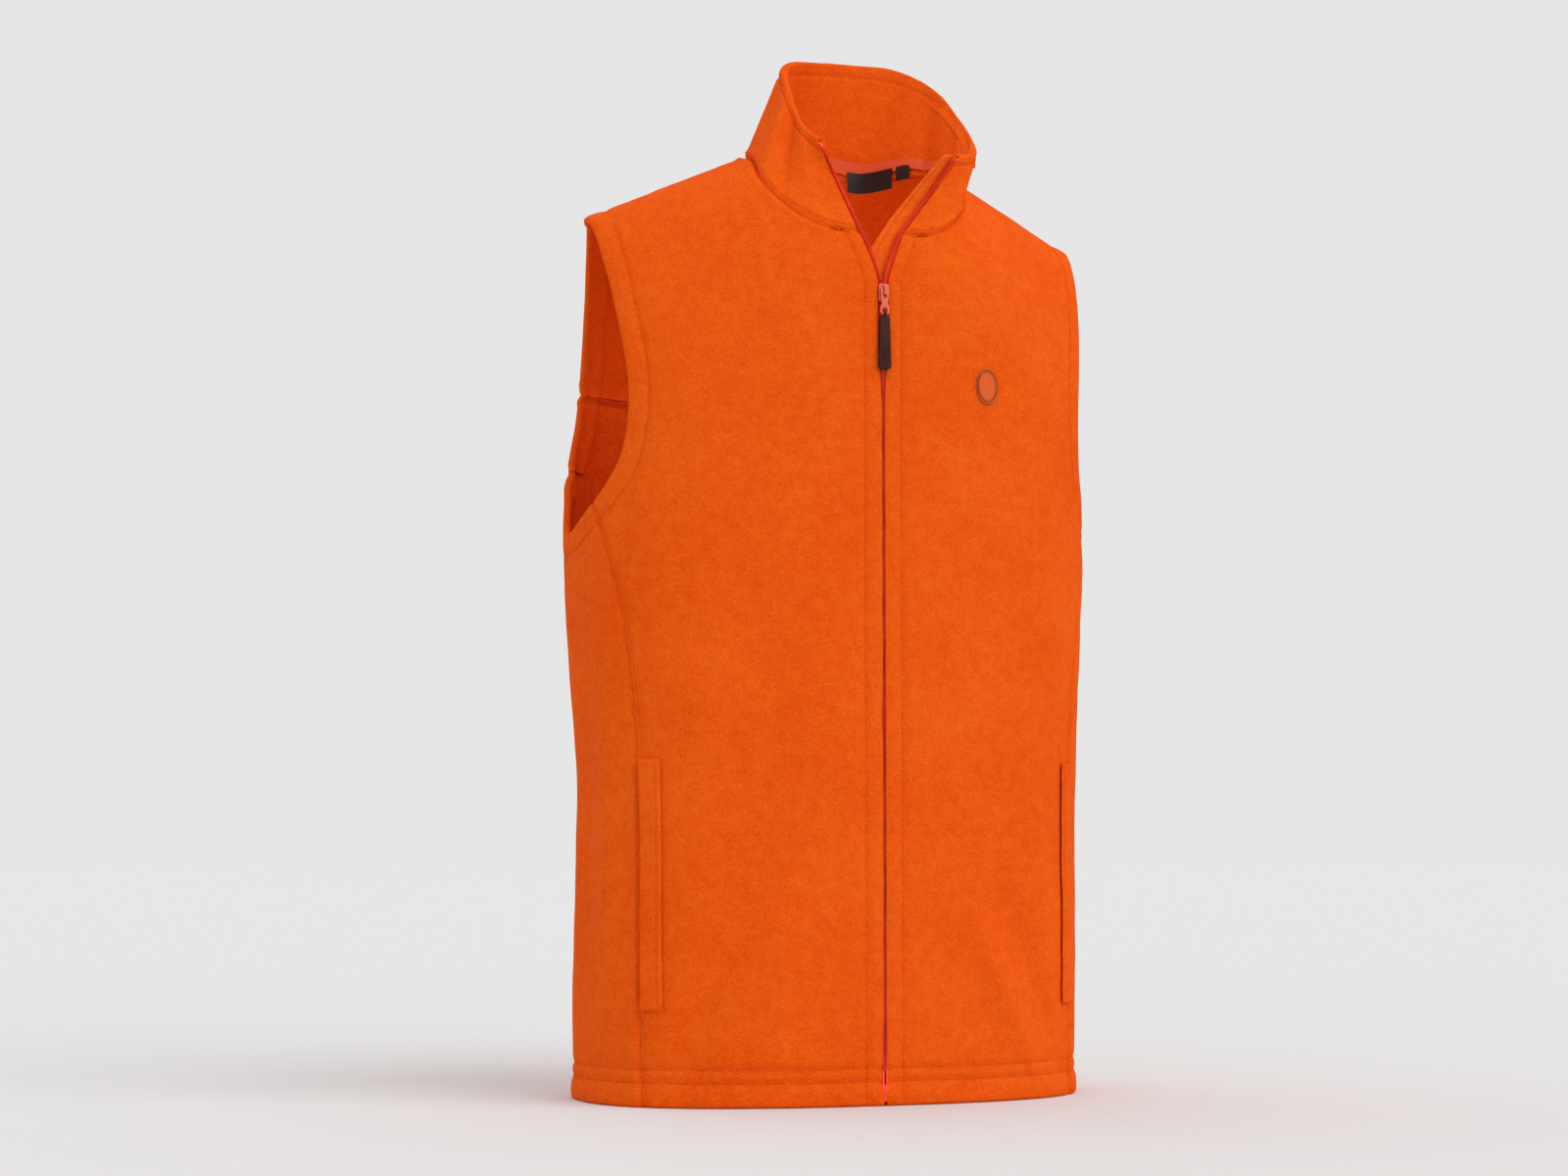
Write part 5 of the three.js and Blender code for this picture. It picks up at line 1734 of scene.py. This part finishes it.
@dataclass
class Trims:
    """Side pockets with their welts and bags, and the chest badge."""

    pocket: tuple[float, float] = (68.0, 247.0)
    welt: float = 17.0
    from_seam: float = 2.0
    badge_at: tuple[float, float] = (84.0, 524.0)
    badge_size: tuple[float, float] = (18.0, 26.0)

    def patch(self, outs: Array, heights: Array, depth: Array) -> Array:
        """A grid on the left front.

        Args:
            outs: Distances from the side front seam.
            heights: Heights above the hem.
            depth: Depths behind the cloth's face, heights by outs.

        Returns:
            Heights by outs by 3, running to the wearer's left.
        """
        rows = []
        for z, deep in zip(heights, depth):
            share = SEAMS.princess.crossing(lambda s: BODY.points(s)[2] - z, 0, 1)
            start = float(SEAMS.princess(share)[0])
            across = Line([BODY.around_at(lerp(start, math.radians(5), t), z) for t in np.linspace(0, 1, 40)])
            spots = across(np.array(outs) / across.mm)
            rows.append(BODY.points(spots) - BODY.normals(spots) * np.array(deep)[:, None])
        return np.array(rows)[:, ::-1]

    def lifted(self, grid: Array) -> Array:
        """The grid moved with the cloth under it."""
        return grid + unit(grid * [1, 1, 0]) * loose_lift(grid)[..., None]

    def build(self) -> None:
        """Makes the trims on both sides."""
        heights = np.r_[self.pocket[0] + np.array([0, 0.6, 1.6, 3.2]),
                        np.linspace(self.pocket[0] + 7, self.pocket[1] - 7, 38),
                        self.pocket[1] - np.array([3.2, 1.6, 0.6, 0])]
        outs = self.from_seam + np.array([0, 0.5, 1.4, 3, 5, 7.5, 10, 12, 13.4, 15, 16.2, 16.7, 17])
        round_ends = 1 - np.minimum(1, np.minimum(heights - heights[0], heights[-1] - heights) / 1.6) ** 0.5
        round_sides = 1 - np.minimum(1, np.minimum(outs - outs[0], outs[-1] - outs) / 1.4) ** 0.5
        depth = -3.2 + 1.5 * np.maximum(round_ends[:, None], round_sides[None])
        depth = depth + 0.55 * bump(outs - outs[8], 1.0)[None] * (round_ends[:, None] < 0.9)
        welt = self.lifted(self.patch(outs, heights, depth))
        knit_heights, knit_outs = np.linspace(44, 292, 32), np.linspace(4, 95, 18)
        knit_depth = np.full((32, 18), 4.4)
        bag = self.patch(knit_outs, knit_heights, knit_depth)
        for side in Side:
            flip = np.array([side.sign, 1, 1])
            order = slice(None, None, side.sign)
            mesh = cloth(f"{side.value}_welt", (welt * flip)[:, order], 2.5)
            piece = shown(mesh.name, mesh, FLEECE, "vest", [f"{side.value}_pocket_welt"])
            line = welt[3:-3, -9] * flip
            STITCHING.sew(f"{side.value}_welt_stitches", line, unit(line * [1, 1, 0]))
            mesh = cloth(f"{side.value}_knit", (bag * flip)[:, order], 1.1)
            piece = shown(mesh.name, mesh, POCKET_KNIT, "vest", [f"{side.value}_pocket_bag"])
        self.badge()

    def badge(self) -> None:
        """A plain oval patch of satin stitch with a corded rim, without any figure or lettering."""
        x, z = self.badge_at
        half_w, half_h = self.badge_size[0] / 2, self.badge_size[1] / 2
        bm = bmesh.new()
        bmesh.ops.create_grid(bm, x_segments=24, y_segments=32, size=1.0)
        for v in bm.verts:
            a, b = v.co.x, v.co.y
            disc = Vector((a * math.sqrt(1 - b * b / 2), b * math.sqrt(1 - a * a / 2)))
            far = disc.length
            spot = np.array(BODY.over(x + disc.x * half_w, z + disc.y * half_h))
            dome = 0.35 * (1 - min(far, 1.0) ** 6)
            place = BODY.points(spot) + BODY.normals(spot) * (0.85 + dome)
            v.co = PLACE.metres(self.lifted(place[None])[0])
        mesh = bpy.data.meshes.new("badge")
        bmesh.ops.solidify(bm, geom=bm.faces, thickness=0.0008)
        bmesh.ops.recalc_face_normals(bm, faces=bm.faces)
        bm.to_mesh(mesh)
        bm.free()
        mesh.polygons.foreach_set("use_smooth", [True] * len(mesh.polygons))
        shown("badge", mesh, RAYON, "vest", ["chest_badge"])
        spots = np.array([BODY.over(x + 0.9 * half_w * math.cos(t), z + 0.9 * half_h * math.sin(t))
                          for t in np.linspace(0, 2 * math.pi, 90)])
        outward = BODY.normals(spots)
        rim = self.lifted((BODY.points(spots) + outward * 1.9)[None])[0]
        Stitching(pitch=0.9, length=1.7, radius=0.5).sew("badge_cord", rim, outward, CORD, "embroidery")


# ---- Studio -------------------------------------------------------------------------------------------


@dataclass(frozen=True)
class Studio:
    """A pale floor, soft lights and the camera."""

    camera_at: tuple[float, float, float] = (-0.8040, -2.0989, 0.1789)
    looks_at: tuple[float, float, float] = (-0.0326, 0.0, 0.38033)
    lens: float = 67.88
    world: float = 0.79
    inner_watts: float = 0.14
    inner_height: float = 0.6

    def light(self, name: str, comes_from: tuple[float, float, float], spread: float,
              strength: float) -> None:
        """Even light from one direction, softened by its spread in degrees.

        Args:
            name: The lamp's name.
            comes_from: The direction it comes from.
            spread: Its apparent width in degrees.
            strength: Its strength.
        """
        lamp = bpy.data.lights.new(name, "SUN")
        lamp.energy, lamp.angle = strength, math.radians(spread)
        holder = bpy.data.objects.new(name, lamp)
        holder.rotation_euler = (-Vector(comes_from)).to_track_quat("-Z", "Y").to_euler()
        bpy.context.scene.collection.objects.link(holder)

    def build(self) -> None:
        """Sets up the studio."""
        shift = Vector((0, PLACE.shift_y * MM, 0))
        eye, aim = Vector(self.camera_at) + shift, Vector(self.looks_at) + shift
        camera = bpy.data.cameras.new("camera")
        camera.lens, camera.sensor_width, camera.clip_end = self.lens, 36.0, 100.0
        holder = bpy.data.objects.new("camera", camera)
        holder.location, holder.rotation_euler = eye, (aim - eye).to_track_quat("-Z", "Y").to_euler()
        bpy.context.scene.collection.objects.link(holder)
        bpy.context.scene.camera = holder
        bm = bmesh.new()
        bmesh.ops.create_grid(bm, x_segments=2, y_segments=2, size=40.0)
        mesh = bpy.data.meshes.new("floor")
        bm.to_mesh(mesh)
        bm.free()
        floor = bpy.data.objects.new("floor", mesh)
        bpy.context.scene.collection.objects.link(floor)
        mesh.materials.append(FINISHES(PALE_FLOOR))
        world = bpy.data.worlds.new("studio")
        world.use_nodes = True
        world.node_tree.nodes["Background"].inputs["Color"].default_value = (self.world,) * 3 + (1.0,)
        bpy.context.scene.world = world
        bpy.context.scene.view_settings.view_transform = "Standard"
        self.light("key", (0.55, -0.85, 1.05), 50, 1.15)
        self.light("back light", (-0.3, 0.9, 1.1), 60, 0.2)
        lamp = bpy.data.lights.new("inner light", "POINT")
        lamp.energy, lamp.shadow_soft_size = self.inner_watts, 0.05
        inner = bpy.data.objects.new("inner light", lamp)
        inner.location = (0.0, 0.0, self.inner_height)
        bpy.context.scene.collection.objects.link(inner)


def main() -> None:
    """Builds the vest and its studio, and reports each piece."""
    logging.basicConfig(level=logging.INFO, format="%(name)s %(message)s")
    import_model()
    PLACE.shift_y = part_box("right_front_panel")[0][1] / MM + BODY.front_depth
    Shell().build()
    collar = Collar()
    collar.build()
    Zip(collar).build()
    Trims().build()
    Studio().build()


if __name__ == "__main__":
    main()
